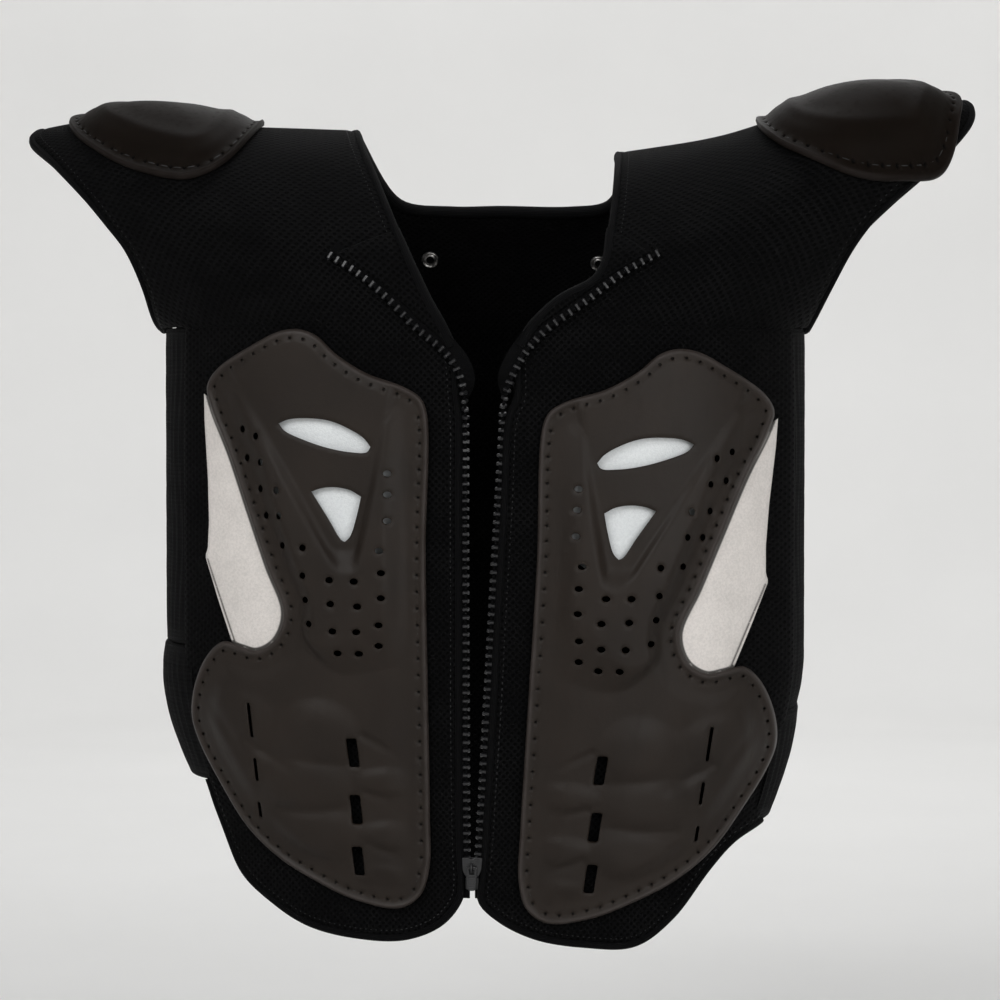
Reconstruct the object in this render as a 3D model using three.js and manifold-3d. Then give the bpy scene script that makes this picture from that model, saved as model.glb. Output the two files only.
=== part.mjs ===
import * as THREE from 'three';
import { mergeVertices } from 'three/addons/utils/BufferGeometryUtils.js';
import Module from 'manifold-3d';

// A sleeveless armour vest, held up as if worn, in millimetres.
// +X is the viewer's right, the front faces -Y, +Z is up.
// The origin is where the shoulders carry it, midway between front and back.

const wasm = await Module();
wasm.setup();

// Body that the vest is shaped to
const bodyHalfWidth = 184;
const frontDepth = 128;
const backDepth = 112;
const armpitDrop = 118;
const wingHalfWidth = 310;
const wingRise = 14;
const crestRise = 18;
const planPower = 2.8;
const waistDrop = 310;
const waistTaper = 22;
const bellyTaper = 9;
const vestDrop = 468;

// Cloth
const padding = 8;
const lapelThickness = 5;
const elasticThickness = 4;
const bandThickness = 5;
const elasticInset = 1.5;
const bandBulge = 3;
const backHemDrop = 400;
const tailDrop = 55;
const neckHalfWidth = 80;
const neckDrop = 152;
const backNeckDrop = 44;
const backSeamShare = 0.89;

// Moulded armour
const shellWidth = 142;
const shellHeight = 327;
const shellThickness = 3;
const flangeWidth = 9;
const chestRelief = 8;
const recessRelief = 1.6;
const bellyRelief = 4.5;
const reliefSoftness = 11;
const perforation = 4.5;
const perforationSides = 5;
const slotWidth = 6;
const slotLength = 16.5;
const slitWidth = 1.8;
const slotLean = 0.1;
const capHalfWidth = 56;
const capHalfDepth = 57;
const capThickness = 3;
const capRelief = 8;

// Reflective cloth
const reflectorThickness = 1.2;

// Zip and hardware
const zipTravel = 424;
const zipSpread = 19;
const beadSize = 4;
const tapeWidth = 4;
const tapeThickness = 1.6;
const zipMiddle = 1;
const sliderWidth = 12;
const sliderHeight = 11;
const sliderThickness = 7.4;
const sliderWedge = 1.8;
const bailRadius = 2.2;
const bailWire = 0.7;
const pullWidth = 6;
const pullLength = 13;
const pullThickness = 1.4;
const boxWidth = 8;
const boxHeight = 7;
const rivetRadius = 5.5;
const rivetBore = 2.4;
const rivetThickness = 2;

// Clearance between neighbouring pieces
const gap = 0.3;

// Each half is placed on the body by itself: the right one hangs lower, leans out and sits farther out.
// lean is in degrees, patch in shares of its table below. The rest are shares: shellOut, seam of
// bodyHalfWidth; shellDown, bandTop, bandBottom of vestDrop; capOut of wingHalfWidth; capFront, how far
// forward the cap reaches, of frontDepth; rivetOut of neckHalfWidth; rivetDown of armpitDrop.
const halfShares = [
  {
    name: 'left', sign: -1, shellOut: 0.457, shellDown: 0.605, lean: 0, seam: 0.89, bandTop: 0.647,
    bandBottom: 0.812, capOut: 0.613, capFront: 0.656, patch: 1, rivetOut: 0.54, rivetDown: 0.62,
  },
  {
    name: 'right', sign: 1, shellOut: 0.522, shellDown: 0.627, lean: 3, seam: 0.965, bandTop: 0.726,
    bandBottom: 0.865, capOut: 0.713, capFront: 0.648, patch: 0.92, rivetOut: 0.79, rivetDown: 0.644,
  },
];
const halves = halfShares.map((half) => ({
  ...half,
  shellOut: half.shellOut * bodyHalfWidth,
  shellDown: half.shellDown * vestDrop,
  bandTop: half.bandTop * vestDrop,
  bandBottom: half.bandBottom * vestDrop,
  capOut: half.capOut * wingHalfWidth,
  capBack: capHalfDepth - half.capFront * frontDepth,
  rivetOut: half.rivetOut * neckHalfWidth,
  rivetDown: half.rivetDown * armpitDrop,
}));
const shellCentre = { out: 0.434, down: 0.498 };

// Shoulder crest from wing to wing: across in shares of the half width, rise in shares of crestRise
const crest = [
  { across: -1.00, rise: -0.65 }, { across: -0.90, rise: -0.28 }, { across: -0.72, rise: 0.05 },
  { across: -0.50, rise: -0.28 }, { across: -0.27, rise: -0.44 }, { across: 0.00, rise: -0.75 },
  { across: 0.27, rise: -1.20 }, { across: 0.36, rise: -1.05 }, { across: 0.50, rise: -0.65 },
  { across: 0.62, rise: 0.05 }, { across: 0.74, rise: 0.60 }, { across: 0.90, rise: 0.50 },
  { across: 1.00, rise: 0.25 },
];

// Armhole edge seen from the front: down in shares of armpitDrop, out in shares of the body's half width
const armhole = [
  { down: 1.00, left: 1.045, right: 1.045 }, { down: 0.82, left: 1.035, right: 1.085 },
  { down: 0.63, left: 1.085, right: 1.150 }, { down: 0.49, left: 1.160, right: 1.215 },
  { down: 0.36, left: 1.240, right: 1.300 }, { down: 0.20, left: 1.355, right: 1.420 },
  { down: 0.07, left: 1.465, right: 1.505 }, { down: -0.03, left: 1.480, right: 1.550 },
  { down: -0.25, left: 1.470, right: 1.535 },
];

// Front neckline, where the lapel folds back: down in shares of neckDrop, out in shares of neckHalfWidth
const neckline = [
  { down: 1.05, left: 0.09, right: 0.34 }, { down: 0.86, left: 0.13, right: 0.36 },
  { down: 0.69, left: 0.30, right: 0.60 }, { down: 0.55, left: 0.43, right: 0.91 },
  { down: 0.43, left: 0.54, right: 0.97 }, { down: 0.16, left: 0.80, right: 1.01 },
  { down: 0.01, left: 1.00, right: 1.02 }, { down: -0.30, left: 1.00, right: 1.02 },
];

// Outer edge of the lapel, which carries the teeth, from the end of the zip down to the neckline's bottom
const lapelEdge = [
  { down: 0.54, left: 0.99, right: 1.30 }, { down: 0.61, left: 0.76, right: 1.05 },
  { down: 0.70, left: 0.54, right: 0.81 }, { down: 0.79, left: 0.36, right: 0.55 },
  { down: 0.87, left: 0.18, right: 0.41 }, { down: 0.94, left: 0.08, right: 0.33 },
];

// Front hem: out in shares of the body's half width, drops in shares of vestDrop
const hem = [
  { out: 0.035, left: 0.942, right: 0.946 }, { out: 0.09, left: 0.972, right: 0.968 },
  { out: 0.20, left: 0.991, right: 0.989 }, { out: 0.35, left: 0.991, right: 0.999 },
  { out: 0.50, left: 0.979, right: 0.999 }, { out: 0.61, left: 0.956, right: 0.968 },
  { out: 0.72, left: 0.920, right: 0.912 }, { out: 0.80, left: 0.853, right: 0.880 },
];

// Outline of a chest shell: out from its inner edge in shares of shellWidth, down in shares of shellHeight
const shellOutline = [
  { out: 0.005, down: 0.15 }, { out: 0.012, down: 0.38 }, { out: 0.005, down: 0.64 },
  { out: 0.000, down: 0.84 }, { out: 0.003, down: 0.93 }, { out: 0.040, down: 0.978 },
  { out: 0.122, down: 1.00 }, { out: 0.30, down: 0.988 }, { out: 0.466, down: 0.957 },
  { out: 0.62, down: 0.920 }, { out: 0.76, down: 0.868 }, { out: 0.877, down: 0.795 },
  { out: 0.972, down: 0.722 }, { out: 0.999, down: 0.680 }, { out: 0.980, down: 0.625 },
  { out: 0.915, down: 0.568 }, { out: 0.845, down: 0.544 }, { out: 0.765, down: 0.552 },
  { out: 0.700, down: 0.557 }, { out: 0.625, down: 0.538 }, { out: 0.587, down: 0.490 },
  { out: 0.655, down: 0.410 }, { out: 0.737, down: 0.310 }, { out: 0.814, down: 0.217 },
  { out: 0.895, down: 0.135 }, { out: 0.914, down: 0.100 }, { out: 0.870, down: 0.070 },
  { out: 0.703, down: 0.025 }, { out: 0.597, down: 0.004 }, { out: 0.520, down: 0.001 },
  { out: 0.449, down: 0.012 }, { out: 0.368, down: 0.044 }, { out: 0.250, down: 0.076 },
  { out: 0.094, down: 0.101 }, { out: 0.030, down: 0.120 },
];

// Windows in the V-shaped recess, in the same shares
const upperWindow = [
  { out: 0.602, down: 0.163 }, { out: 0.560, down: 0.156 }, { out: 0.480, down: 0.154 },
  { out: 0.395, down: 0.158 }, { out: 0.318, down: 0.171 }, { out: 0.255, down: 0.188 },
  { out: 0.228, down: 0.203 }, { out: 0.243, down: 0.212 }, { out: 0.310, down: 0.212 },
  { out: 0.400, down: 0.205 }, { out: 0.500, down: 0.191 }, { out: 0.580, down: 0.175 },
];
const lowerWindow = [
  { out: 0.468, down: 0.280 }, { out: 0.428, down: 0.274 }, { out: 0.372, down: 0.272 },
  { out: 0.310, down: 0.277 }, { out: 0.266, down: 0.288 }, { out: 0.284, down: 0.322 },
  { out: 0.311, down: 0.357 }, { out: 0.332, down: 0.366 }, { out: 0.347, down: 0.363 },
  { out: 0.400, down: 0.326 },
];

// Rows of perforations beside and below the recess, in the same shares
const perforations = [
  { out: 0.754, down: 0.173 }, { out: 0.696, down: 0.185 }, { out: 0.736, down: 0.223 },
  { out: 0.677, down: 0.230 }, { out: 0.679, down: 0.276 }, { out: 0.609, down: 0.278 },
  { out: 0.656, down: 0.322 }, { out: 0.598, down: 0.322 }, { out: 0.586, down: 0.373 },
  { out: 0.500, down: 0.376 }, { out: 0.500, down: 0.424 }, { out: 0.392, down: 0.431 },
  { out: 0.293, down: 0.433 }, { out: 0.492, down: 0.466 }, { out: 0.388, down: 0.472 },
  { out: 0.280, down: 0.476 }, { out: 0.477, down: 0.507 }, { out: 0.380, down: 0.519 },
  { out: 0.284, down: 0.520 }, { out: 0.360, down: 0.557 }, { out: 0.276, down: 0.558 },
  { out: 0.161, down: 0.248 }, { out: 0.160, down: 0.284 }, { out: 0.161, down: 0.329 },
  { out: 0.192, down: 0.380 }, { out: 0.184, down: 0.418 }, { out: 0.185, down: 0.461 },
  { out: 0.195, down: 0.508 }, { out: 0.197, down: 0.544 },
];

// Slots nearer the zip and slits nearer the side, with their lengths in shares of slotLength
const slots = [
  { out: 0.305, down: 0.730 }, { out: 0.294, down: 0.829 }, { out: 0.287, down: 0.919 },
];
const slits = [
  { out: 0.728, down: 0.679, length: 1.20 }, { out: 0.708, down: 0.766, length: 0.80 },
  { out: 0.697, down: 0.838, length: 0.55 },
];

// Legs of the recess and the lower lip of the perforated bulge, in the same shares
const recessOuterLeg = [{ out: 0.800, down: 0.080 }, { out: 0.330, down: 0.440 }];
const recessInnerLeg = [{ out: 0.140, down: 0.110 }, { out: 0.300, down: 0.440 }];
const lip = [
  { out: 0.00, down: 0.575 }, { out: 0.20, down: 0.592 }, { out: 0.33, down: 0.602 },
  { out: 0.42, down: 0.586 }, { out: 0.50, down: 0.545 }, { out: 0.56, down: 0.480 },
  { out: 0.66, down: 0.400 }, { out: 1.00, down: 0.100 },
];

// Belly bulges: the middle of each in shares of shellHeight, their half height, and how far out they reach
// in shares of the half distance between slots and slits
const bellyRows = [0.685, 0.780, 0.870];
const bellyHalfHeight = 0.052;
const bellyReach = { full: 0.4, none: 1.25 };

// The chest bulge swells from the top down: its least share of the relief, and where it starts and is full
const swelling = { least: 0.35, from: 0.08, full: 0.42 };

// Millimetres over which the recess's edge slopes, measured from its legs
const recessSlope = { from: -2, to: 4 };

// Side reflector, in the same shares, reaching past the shell's outer edge
const tongue = [
  { out: 0.955, down: 0.115 }, { out: 0.945, down: 0.425 }, { out: 0.925, down: 0.455 },
  { out: 0.812, down: 0.543 }, { out: 0.700, down: 0.556 }, { out: 0.500, down: 0.480 },
  { out: 0.740, down: 0.200 },
];

// Silver sheet behind the windows, in the same shares
const patch = [
  { out: 0.62, down: 0.125 }, { out: 0.64, down: 0.28 }, { out: 0.40, down: 0.395 },
  { out: 0.29, down: 0.395 }, { out: 0.135, down: 0.345 }, { out: 0.18, down: 0.25 },
  { out: 0.18, down: 0.14 },
];
const patchCentre = { out: 0.38, down: 0.26 };

// Outline of a shoulder cap laid on its arch: out and back from its middle, in shares of its half sizes
const capOutline = {
  left: [
    { out: -1.02, back: -0.23 }, { out: -0.82, back: -0.80 }, { out: -0.48, back: -1.00 },
    { out: 0.03, back: -0.94 }, { out: 0.44, back: -0.75 }, { out: 0.83, back: -0.38 },
    { out: 1.00, back: 0.08 }, { out: 0.89, back: 0.50 }, { out: 0.57, back: 0.82 },
    { out: 0.00, back: 1.00 }, { out: -0.57, back: 0.96 }, { out: -0.95, back: 0.58 },
  ],
  right: [
    { out: -1.00, back: -0.20 }, { out: -0.85, back: -0.60 }, { out: -0.55, back: -0.84 },
    { out: -0.20, back: -0.95 }, { out: 0.25, back: -0.93 }, { out: 0.70, back: -0.78 },
    { out: 0.94, back: -0.30 }, { out: 1.02, back: 0.08 }, { out: 0.90, back: 0.42 },
    { out: 0.55, back: 0.72 }, { out: 0.00, back: 0.95 }, { out: -0.60, back: 0.90 },
    { out: -0.95, back: 0.50 },
  ],
};

// Number helpers

const clamp = (value, low, high) => Math.min(Math.max(value, low), high);

// 0 before one value and 1 past the other, with a soft step between
const ease = (low, high, value) => {
  const t = clamp((value - low) / (high - low), 0, 1);
  return t * t * (3 - 2 * t);
};

const mix = (from, to, t) => from + (to - from) * t;

function spread(from, to, steps) {
  return Array.from({ length: steps + 1 }, (_, i) => mix(from, to, i / steps));
}

// Smooth curve through a table: the value column at a place in the key column
function along(table, key, value, at) {
  const last = table.length - 1;
  const place = clamp(at, table[0][key], table[last][key]);
  let i = 0;
  while (i < last - 1 && place > table[i + 1][key]) i += 1;
  const slope = (j) => {
    const before = table[Math.max(j - 1, 0)];
    const after = table[Math.min(j + 1, last)];
    return (after[value] - before[value]) / (after[key] - before[key]);
  };
  const width = table[i + 1][key] - table[i][key];
  const t = (place - table[i][key]) / width;
  const rise = table[i + 1][value] - table[i][value];
  const start = slope(i) * width;
  const end = slope(i + 1) * width;
  const bow = (3 * rise - 2 * start - end) * t * t;
  return table[i][value] + start * t + bow + (start + end - 2 * rise) * t ** 3;
}

// The body's surface

const flareLimit = 1.2;

function halfWidth(z) {
  const flare = clamp((z + armpitDrop) / (armpitDrop + wingRise), 0, flareLimit);
  const taper = waistTaper * ease(waistDrop, backHemDrop + waistTaper, -z);
  return mix(bodyHalfWidth, wingHalfWidth, flare) - taper;
}

function depthAt(z, face) {
  if (face > 0) return backDepth;
  const below = ease(0, 1, (-z - bodyHalfWidth) / (vestDrop - bodyHalfWidth));
  return frontDepth - bellyTaper * below ** 1.5;
}

function archHeight(share) {
  return armpitDrop + crestRise * along(crest, 'across', 'rise', share);
}

// Normal of the surface, from how far across it is and how far up the shoulder arch
function normalAt(share, lift, z, face) {
  const across = Math.abs(share);
  const side = Math.sign(share);
  const inward = Math.max(1 - across ** planPower, 0) ** (1 / planPower);
  const closing = Math.sqrt(Math.max(1 - lift * lift, 0));
  const width = halfWidth(z);
  const height = archHeight(share);
  const step = 0.01;
  const crestSlope = (archHeight(share + step) - archHeight(share - step)) / (2 * step);
  const flareSlope = (halfWidth(z + 1) - halfWidth(z - 1)) / 2;
  const fullness = inward ** planPower;
  const outward = side * across ** (planPower - 1) / width * closing ** 2;
  return new THREE.Vector3(
    outward - fullness * lift * lift * crestSlope / (height * width),
    face * inward ** (planPower - 1) * closing / depthAt(z, face),
    fullness * lift / height - across ** planPower * flareSlope / width * closing ** 2,
  ).normalize();
}

// A place on the surface. rise is in millimetres below the armpit, and from 0 to 1 up the shoulder arch.
function onBody(share, rise, face) {
  const turn = clamp(rise, 0, 1) * Math.PI / 2;
  const lift = Math.sin(turn);
  const z = rise < 0 ? rise - armpitDrop : lift * archHeight(share) - armpitDrop;
  const inward = Math.max(1 - Math.abs(share) ** planPower, 0) ** (1 / planPower);
  const y = face * depthAt(z, face) * inward * Math.cos(turn);
  return { point: new THREE.Vector3(share * halfWidth(z), y, z), normal: normalAt(share, lift, z, face) };
}

// The same surface from its front view, kept clear of the edges where it turns away
const viewLimit = 0.99;

function onFront(x, z) {
  const share = clamp(x / halfWidth(z), -viewLimit, viewLimit);
  const lift = clamp((z + armpitDrop) / archHeight(share), 0, 0.999);
  return onBody(share, lift > 0 ? Math.asin(lift) * 2 / Math.PI : z + armpitDrop, -1);
}

// A place on the shoulder arch, out by x. back is how far behind the crest it lies level with middle. Nearer
// the wing's tip the arch is shallower, and the place lies closer to the crest.
function onShoulder(x, back, middle) {
  const face = back < 0 ? -1 : 1;
  const inwardAt = (share) => (1 - Math.abs(share) ** planPower) ** (1 / planPower);
  const reach = depthAt(0, face) * inwardAt(middle / halfWidth(0));
  const lean = clamp(Math.abs(back) / reach, 0, viewLimit);
  const lift = Math.sqrt(1 - lean ** 2);
  const passes = 12;
  let share = clamp(x / halfWidth(0), -viewLimit, viewLimit);
  let z = 0;
  for (let pass = 0; pass < passes; pass += 1) {
    z = lift * archHeight(share) - armpitDrop;
    share = clamp(x / halfWidth(z), -viewLimit, viewLimit);
  }
  const y = face * depthAt(z, face) * inwardAt(share) * lean;
  return { point: new THREE.Vector3(x, y, z), normal: normalAt(share, lift, z, face) };
}

const raised = ({ point, normal }, offset) => point.clone().addScaledVector(normal, offset);

// Solids

function toGeometry(points, triangles) {
  const geometry = new THREE.BufferGeometry();
  const numbers = points.flatMap((p) => [p.x, p.y, p.z]);
  geometry.setAttribute('position', new THREE.Float32BufferAttribute(numbers, 3));
  geometry.setIndex(triangles.flat());
  return geometry;
}

function toSolid(source) {
  const geometry = source.clone();
  geometry.deleteAttribute('normal');
  geometry.deleteAttribute('uv');
  const merged = mergeVertices(geometry, 1e-4);
  return new wasm.Manifold(new wasm.Mesh({
    numProp: 3,
    vertProperties: new Float32Array(merged.attributes.position.array),
    triVerts: new Uint32Array(merged.index.array),
  }));
}

function fromSolid(solid) {
  const mesh = solid.getMesh();
  const geometry = new THREE.BufferGeometry();
  geometry.setAttribute('position', new THREE.BufferAttribute(new Float32Array(mesh.vertProperties), 3));
  geometry.setIndex(new THREE.BufferAttribute(new Uint32Array(mesh.triVerts), 1));
  return geometry;
}

// Faces point out when the enclosed volume comes out positive
function facingOut(points, triangles) {
  let volume = 0;
  for (const [a, b, c] of triangles) volume += points[a].dot(points[b].clone().cross(points[c]));
  return toGeometry(points, volume > 0 ? triangles : triangles.map(([a, b, c]) => [a, c, b]));
}

// A wall between an inner and an outer sheet, each a grid of columns by rows
function wall(columns, rows, place, inner, outer) {
  const points = [];
  const sheets = [inner, outer].map((offset) => rows.map((row) => columns.map((column) => {
    const seat = place(column, row);
    points.push(raised(seat, offset(seat)));
    return points.length - 1;
  })));
  const triangles = [];
  const quad = (a, b, c, d) => triangles.push([a, b, c], [a, c, d]);
  const [low, high] = sheets;
  const lastRow = rows.length - 1;
  const lastColumn = columns.length - 1;
  for (let j = 0; j < lastRow; j += 1) {
    for (let i = 0; i < lastColumn; i += 1) {
      quad(high[j][i], high[j][i + 1], high[j + 1][i + 1], high[j + 1][i]);
      quad(low[j][i], low[j + 1][i], low[j + 1][i + 1], low[j][i + 1]);
    }
    quad(low[j][0], high[j][0], high[j + 1][0], low[j + 1][0]);
    quad(low[j][lastColumn], low[j + 1][lastColumn], high[j + 1][lastColumn], high[j][lastColumn]);
  }
  for (let i = 0; i < lastColumn; i += 1) {
    quad(low[0][i], low[0][i + 1], high[0][i + 1], high[0][i]);
    quad(low[lastRow][i], high[lastRow][i], high[lastRow][i + 1], low[lastRow][i + 1]);
  }
  return facingOut(points, triangles);
}

// An outline without the points that lie on a straight line between their neighbours
function cornersOf(outline) {
  return outline.filter(({ x, z }, i) => {
    const before = outline[(i + outline.length - 1) % outline.length];
    const after = outline[(i + 1) % outline.length];
    return Math.abs((x - before.x) * (after.z - z) - (z - before.z) * (after.x - x)) > 1e-3;
  });
}

// A block cut to a front-view outline, from one depth to another
function frontBlock(outline, nearY, farY) {
  const shape = new THREE.Shape(cornersOf(outline).map(({ x, z }) => new THREE.Vector2(x, z)));
  const block = new THREE.ExtrudeGeometry(shape, { depth: farY - nearY, bevelEnabled: false });
  block.rotateX(Math.PI / 2);
  block.translate(0, farY, 0);
  return toSolid(block);
}

const frontReach = -2 * frontDepth;
const backReach = 2 * backDepth;
const throughFront = (outline) => frontBlock(outline, frontReach, -gap / 2);
const throughBack = (outline) => frontBlock(outline, gap / 2, backReach);

// A closed curve through an outline's points
function rounded(points, count) {
  const stations = points.map(({ x, z }) => new THREE.Vector3(x, 0, z));
  const curve = new THREE.CatmullRomCurve3(stations, true, 'centripetal');
  return curve.getSpacedPoints(count).slice(0, count).map((p) => ({ x: p.x, z: p.z }));
}

// A bar of one section along stations, each with its own origin, side and out directions
function bar(stations, section) {
  const points = stations.flatMap(({ origin, side, out }) => section.map(([s, o]) => (
    origin.clone().addScaledVector(side, s).addScaledVector(out, o))));
  const size = section.length;
  const triangles = [];
  for (let k = 0; k < stations.length - 1; k += 1) {
    for (let i = 0; i < size; i += 1) {
      const a = k * size + i;
      const b = k * size + (i + 1) % size;
      triangles.push([a, b, b + size], [a, b + size, a + size]);
    }
  }
  const face = THREE.ShapeUtils.triangulateShape(section.map(([s, o]) => new THREE.Vector2(s, o)), []);
  const end = (stations.length - 1) * size;
  for (const [a, b, c] of face) triangles.push([a, c, b], [end + a, end + b, end + c]);
  return facingOut(points, triangles);
}

// Places on a shell

const turnOf = (half) => THREE.MathUtils.degToRad(half.lean);

function onShell(half, { out, down }) {
  const across = (out - shellCentre.out) * shellWidth;
  const up = (shellCentre.down - down) * shellHeight;
  const turn = turnOf(half);
  return {
    x: half.sign * (half.shellOut + across * Math.cos(turn) + up * Math.sin(turn)),
    z: -half.shellDown - across * Math.sin(turn) + up * Math.cos(turn),
  };
}

function shellShare(half, x, z) {
  const across = half.sign * x - half.shellOut;
  const up = z + half.shellDown;
  const turn = turnOf(half);
  return {
    out: shellCentre.out + (across * Math.cos(turn) - up * Math.sin(turn)) / shellWidth,
    down: shellCentre.down - (across * Math.sin(turn) + up * Math.cos(turn)) / shellHeight,
  };
}

const millimetres = ({ out, down }) => new THREE.Vector2(out * shellWidth, down * shellHeight);

// Distance from a place to the straight line from one place to another, positive on its left
function besides(place, [from, to]) {
  const start = millimetres(from);
  const run = millimetres(to).sub(start);
  const away = millimetres(place).sub(start);
  return (run.x * away.y - run.y * away.x) / run.length();
}

function distanceToOutline(place, outline) {
  const here = millimetres(place);
  return Math.min(...outline.map((point, i) => {
    const start = millimetres(point);
    const run = millimetres(outline[(i + 1) % outline.length]).sub(start);
    const t = clamp(here.clone().sub(start).dot(run) / run.lengthSq(), 0, 1);
    return here.distanceTo(start.addScaledVector(run, t));
  }));
}

// How far the moulding stands above its flange
function shellRelief(place) {
  const fromEdge = distanceToOutline(place, shellOutline);
  const inside = ease(flangeWidth, flangeWidth + reliefSoftness, fromEdge);
  const belowLip = (place.down - along(lip, 'out', 'down', place.out)) * shellHeight;
  const chest = 1 - ease(-reliefSoftness, 0, belowLip);
  const swell = mix(swelling.least, 1, ease(swelling.from, swelling.full, place.down));
  const recess = Math.min(besides(place, recessOuterLeg), -besides(place, recessInnerLeg));
  const sunk = ease(recessSlope.from, recessSlope.to, recess) * ease(0, flangeWidth / 3, fromEdge);
  const bulge = mix(chestRelief * swell, recessRelief, sunk) * chest;
  const middle = (slots[0].out + slits[0].out) / 2;
  const reach = (slits[0].out - slots[0].out) / 2;
  const row = Math.max(...bellyRows.map((down) => 1 - ((place.down - down) / bellyHalfHeight) ** 2));
  const sideways = ease(bellyReach.none, bellyReach.full, Math.abs(place.out - middle) / reach);
  const belly = bellyRelief * ease(0, 1, row) * sideways;
  const floor = sunk * chest * recessRelief * ease(0, flangeWidth * 2 / 3, fromEdge);
  return Math.max(inside * Math.max(bulge, belly), floor);
}

// Materials

const paint = (color, roughness, metalness) => (
  new THREE.MeshStandardMaterial({ color, roughness, metalness }));
const meshCloth = paint(0x0b0b0c, 0.95, 0);
const elasticCloth = paint(0x101011, 0.9, 0);
const armour = paint(0x35302e, 0.45, 0);
const silverCloth = paint(0xcfcac4, 0.4, 0.2);
const zipPlastic = paint(0x121214, 0.5, 0);
const darkMetal = paint(0x6d6a66, 0.35, 1);

const vest = new THREE.Group();

function add(name, geometry, material, parent = vest) {
  const mesh = new THREE.Mesh(geometry, material);
  mesh.name = name;
  parent.add(mesh);
  return mesh;
}

// Places on the zip

// The rows meet under the slider and part round its wedge. Above it the left row hangs straight, and the
// right one leans away.
function zipOut(half, down) {
  const wedge = sliderWedge / 2 * ease(sliderHeight / 2, -sliderHeight / 2, down - zipTravel);
  const meeting = beadSize / 2 + gap + wedge;
  const open = Math.max(zipTravel - down, 0) / (zipTravel - neckDrop);
  return half.sign * zipMiddle + (half.sign < 0 ? meeting : mix(meeting, zipSpread, open));
}

// One half's column of an edge table, in millimetres
const edgeOf = (half, table, height, width) => table.map((row) => (
  { out: row[half.name] * width, down: row.down * height }));

// Zip tapes: a flat tape with its teeth as a bead, up the front edge and out along the turned-back lapel

const beadHalf = beadSize / 2;
const beadLift = padding / 2;
const lapelLift = padding + beadHalf + 2 * gap;

// Where the tape starts to turn over, and where it stands on edge, in shares of neckDrop
const turnOver = { starts: 1.16, upright: 1.07 };

function tapeStations(half) {
  const sliderEnd = sliderHeight / 2;
  const inSlider = spread(zipTravel + sliderEnd, zipTravel - sliderEnd, 3);
  const above = spread(zipTravel, neckDrop * turnOver.starts, 7).slice(1);
  const straight = [...inSlider, ...above]
    .map((down) => ({ out: zipOut(half, down), down, lift: beadLift, turn: 0 }));
  const edge = edgeOf(half, lapelEdge, neckDrop, neckHalfWidth).reverse()
    .map((row) => ({ ...row, lift: lapelLift, turn: 1 }));
  const upright = neckDrop * turnOver.upright;
  const joint = { out: zipOut(half, upright), down: upright, lift: padding, turn: 0.5 };
  const path = [...straight, joint, ...edge];
  const seats = path.map(({ out, down }) => onFront(half.sign * out, -down));
  const origins = path.map(({ lift }, i) => raised(seats[i], lift));
  return path.map(({ turn }, i) => {
    const from = origins[Math.max(i - 1, 0)];
    const to = origins[Math.min(i + 1, origins.length - 1)];
    const run = to.clone().sub(from).normalize();
    const { normal } = seats[i];
    const across = run.clone().cross(normal).normalize().multiplyScalar(half.sign);
    const up = across.clone().cross(run).normalize().multiplyScalar(half.sign);
    const angle = turn * Math.PI;
    const side = across.clone().multiplyScalar(Math.cos(angle)).addScaledVector(up, -Math.sin(angle));
    const out = across.clone().multiplyScalar(Math.sin(angle)).addScaledVector(up, Math.cos(angle));
    return { origin: origins[i], side, out };
  });
}

// The tape's section, or the room that it takes in the panel, a margin larger all round
function tapeSection(margin) {
  const bead = beadHalf + margin;
  const edge = beadHalf + tapeWidth + margin;
  const flatHalf = tapeThickness / 2 + margin;
  return [
    [-bead, -bead], [bead, -bead], [bead, -flatHalf], [edge, -flatHalf],
    [edge, flatHalf], [bead, flatHalf], [bead, bead], [-bead, bead],
  ];
}

const tapeRoom = (half) => toSolid(bar(tapeStations(half), tapeSection(gap)));

for (const half of halves) {
  add(`zip_tape_${half.name}`, bar(tapeStations(half), tapeSection(0)), zipPlastic);
}

// Front panels

const panelInset = beadHalf + tapeWidth + gap;

// A seam runs straight between a few levels, at one share of the body's half width
const seamLevels = [
  ...spread(armpitDrop - 2 * padding, waistDrop, 3),
  ...spread(waistDrop, vestDrop, 5).slice(1),
];

function seamOut(share, down) {
  const at = (level) => share * halfWidth(-level) + padding / 2;
  const next = clamp(seamLevels.findIndex((level) => level > down), 1, seamLevels.length - 1);
  const [above, below] = [seamLevels[next - 1], seamLevels[next]];
  return mix(at(above), at(below), (down - above) / (below - above));
}

function seamLine(share, from, to) {
  const levels = [from, ...seamLevels.filter((level) => level > from && level < to), to];
  return levels.map((down) => ({ out: seamOut(share, down), down }));
}

function frontOutline(half) {
  const zipEnds = [zipTravel + sliderHeight / 2, zipTravel - sliderHeight, neckDrop * 1.12];
  const inner = zipEnds.map((down) => ({ out: zipOut(half, down) + panelInset, down }));
  const neck = edgeOf(half, neckline, neckDrop, neckHalfWidth);
  const arm = edgeOf(half, armhole, armpitDrop, bodyHalfWidth).reverse();
  const seam = seamLine(half.seam, armpitDrop, half.bandBottom);
  const foot = hem.map((row) => ({ out: row.out * bodyHalfWidth, down: row[half.name] * vestDrop }));
  return [...inner, ...neck, ...arm, ...seam, ...foot.reverse()]
    .map(({ out, down }) => ({ x: half.sign * out, z: -down }));
}

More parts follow.
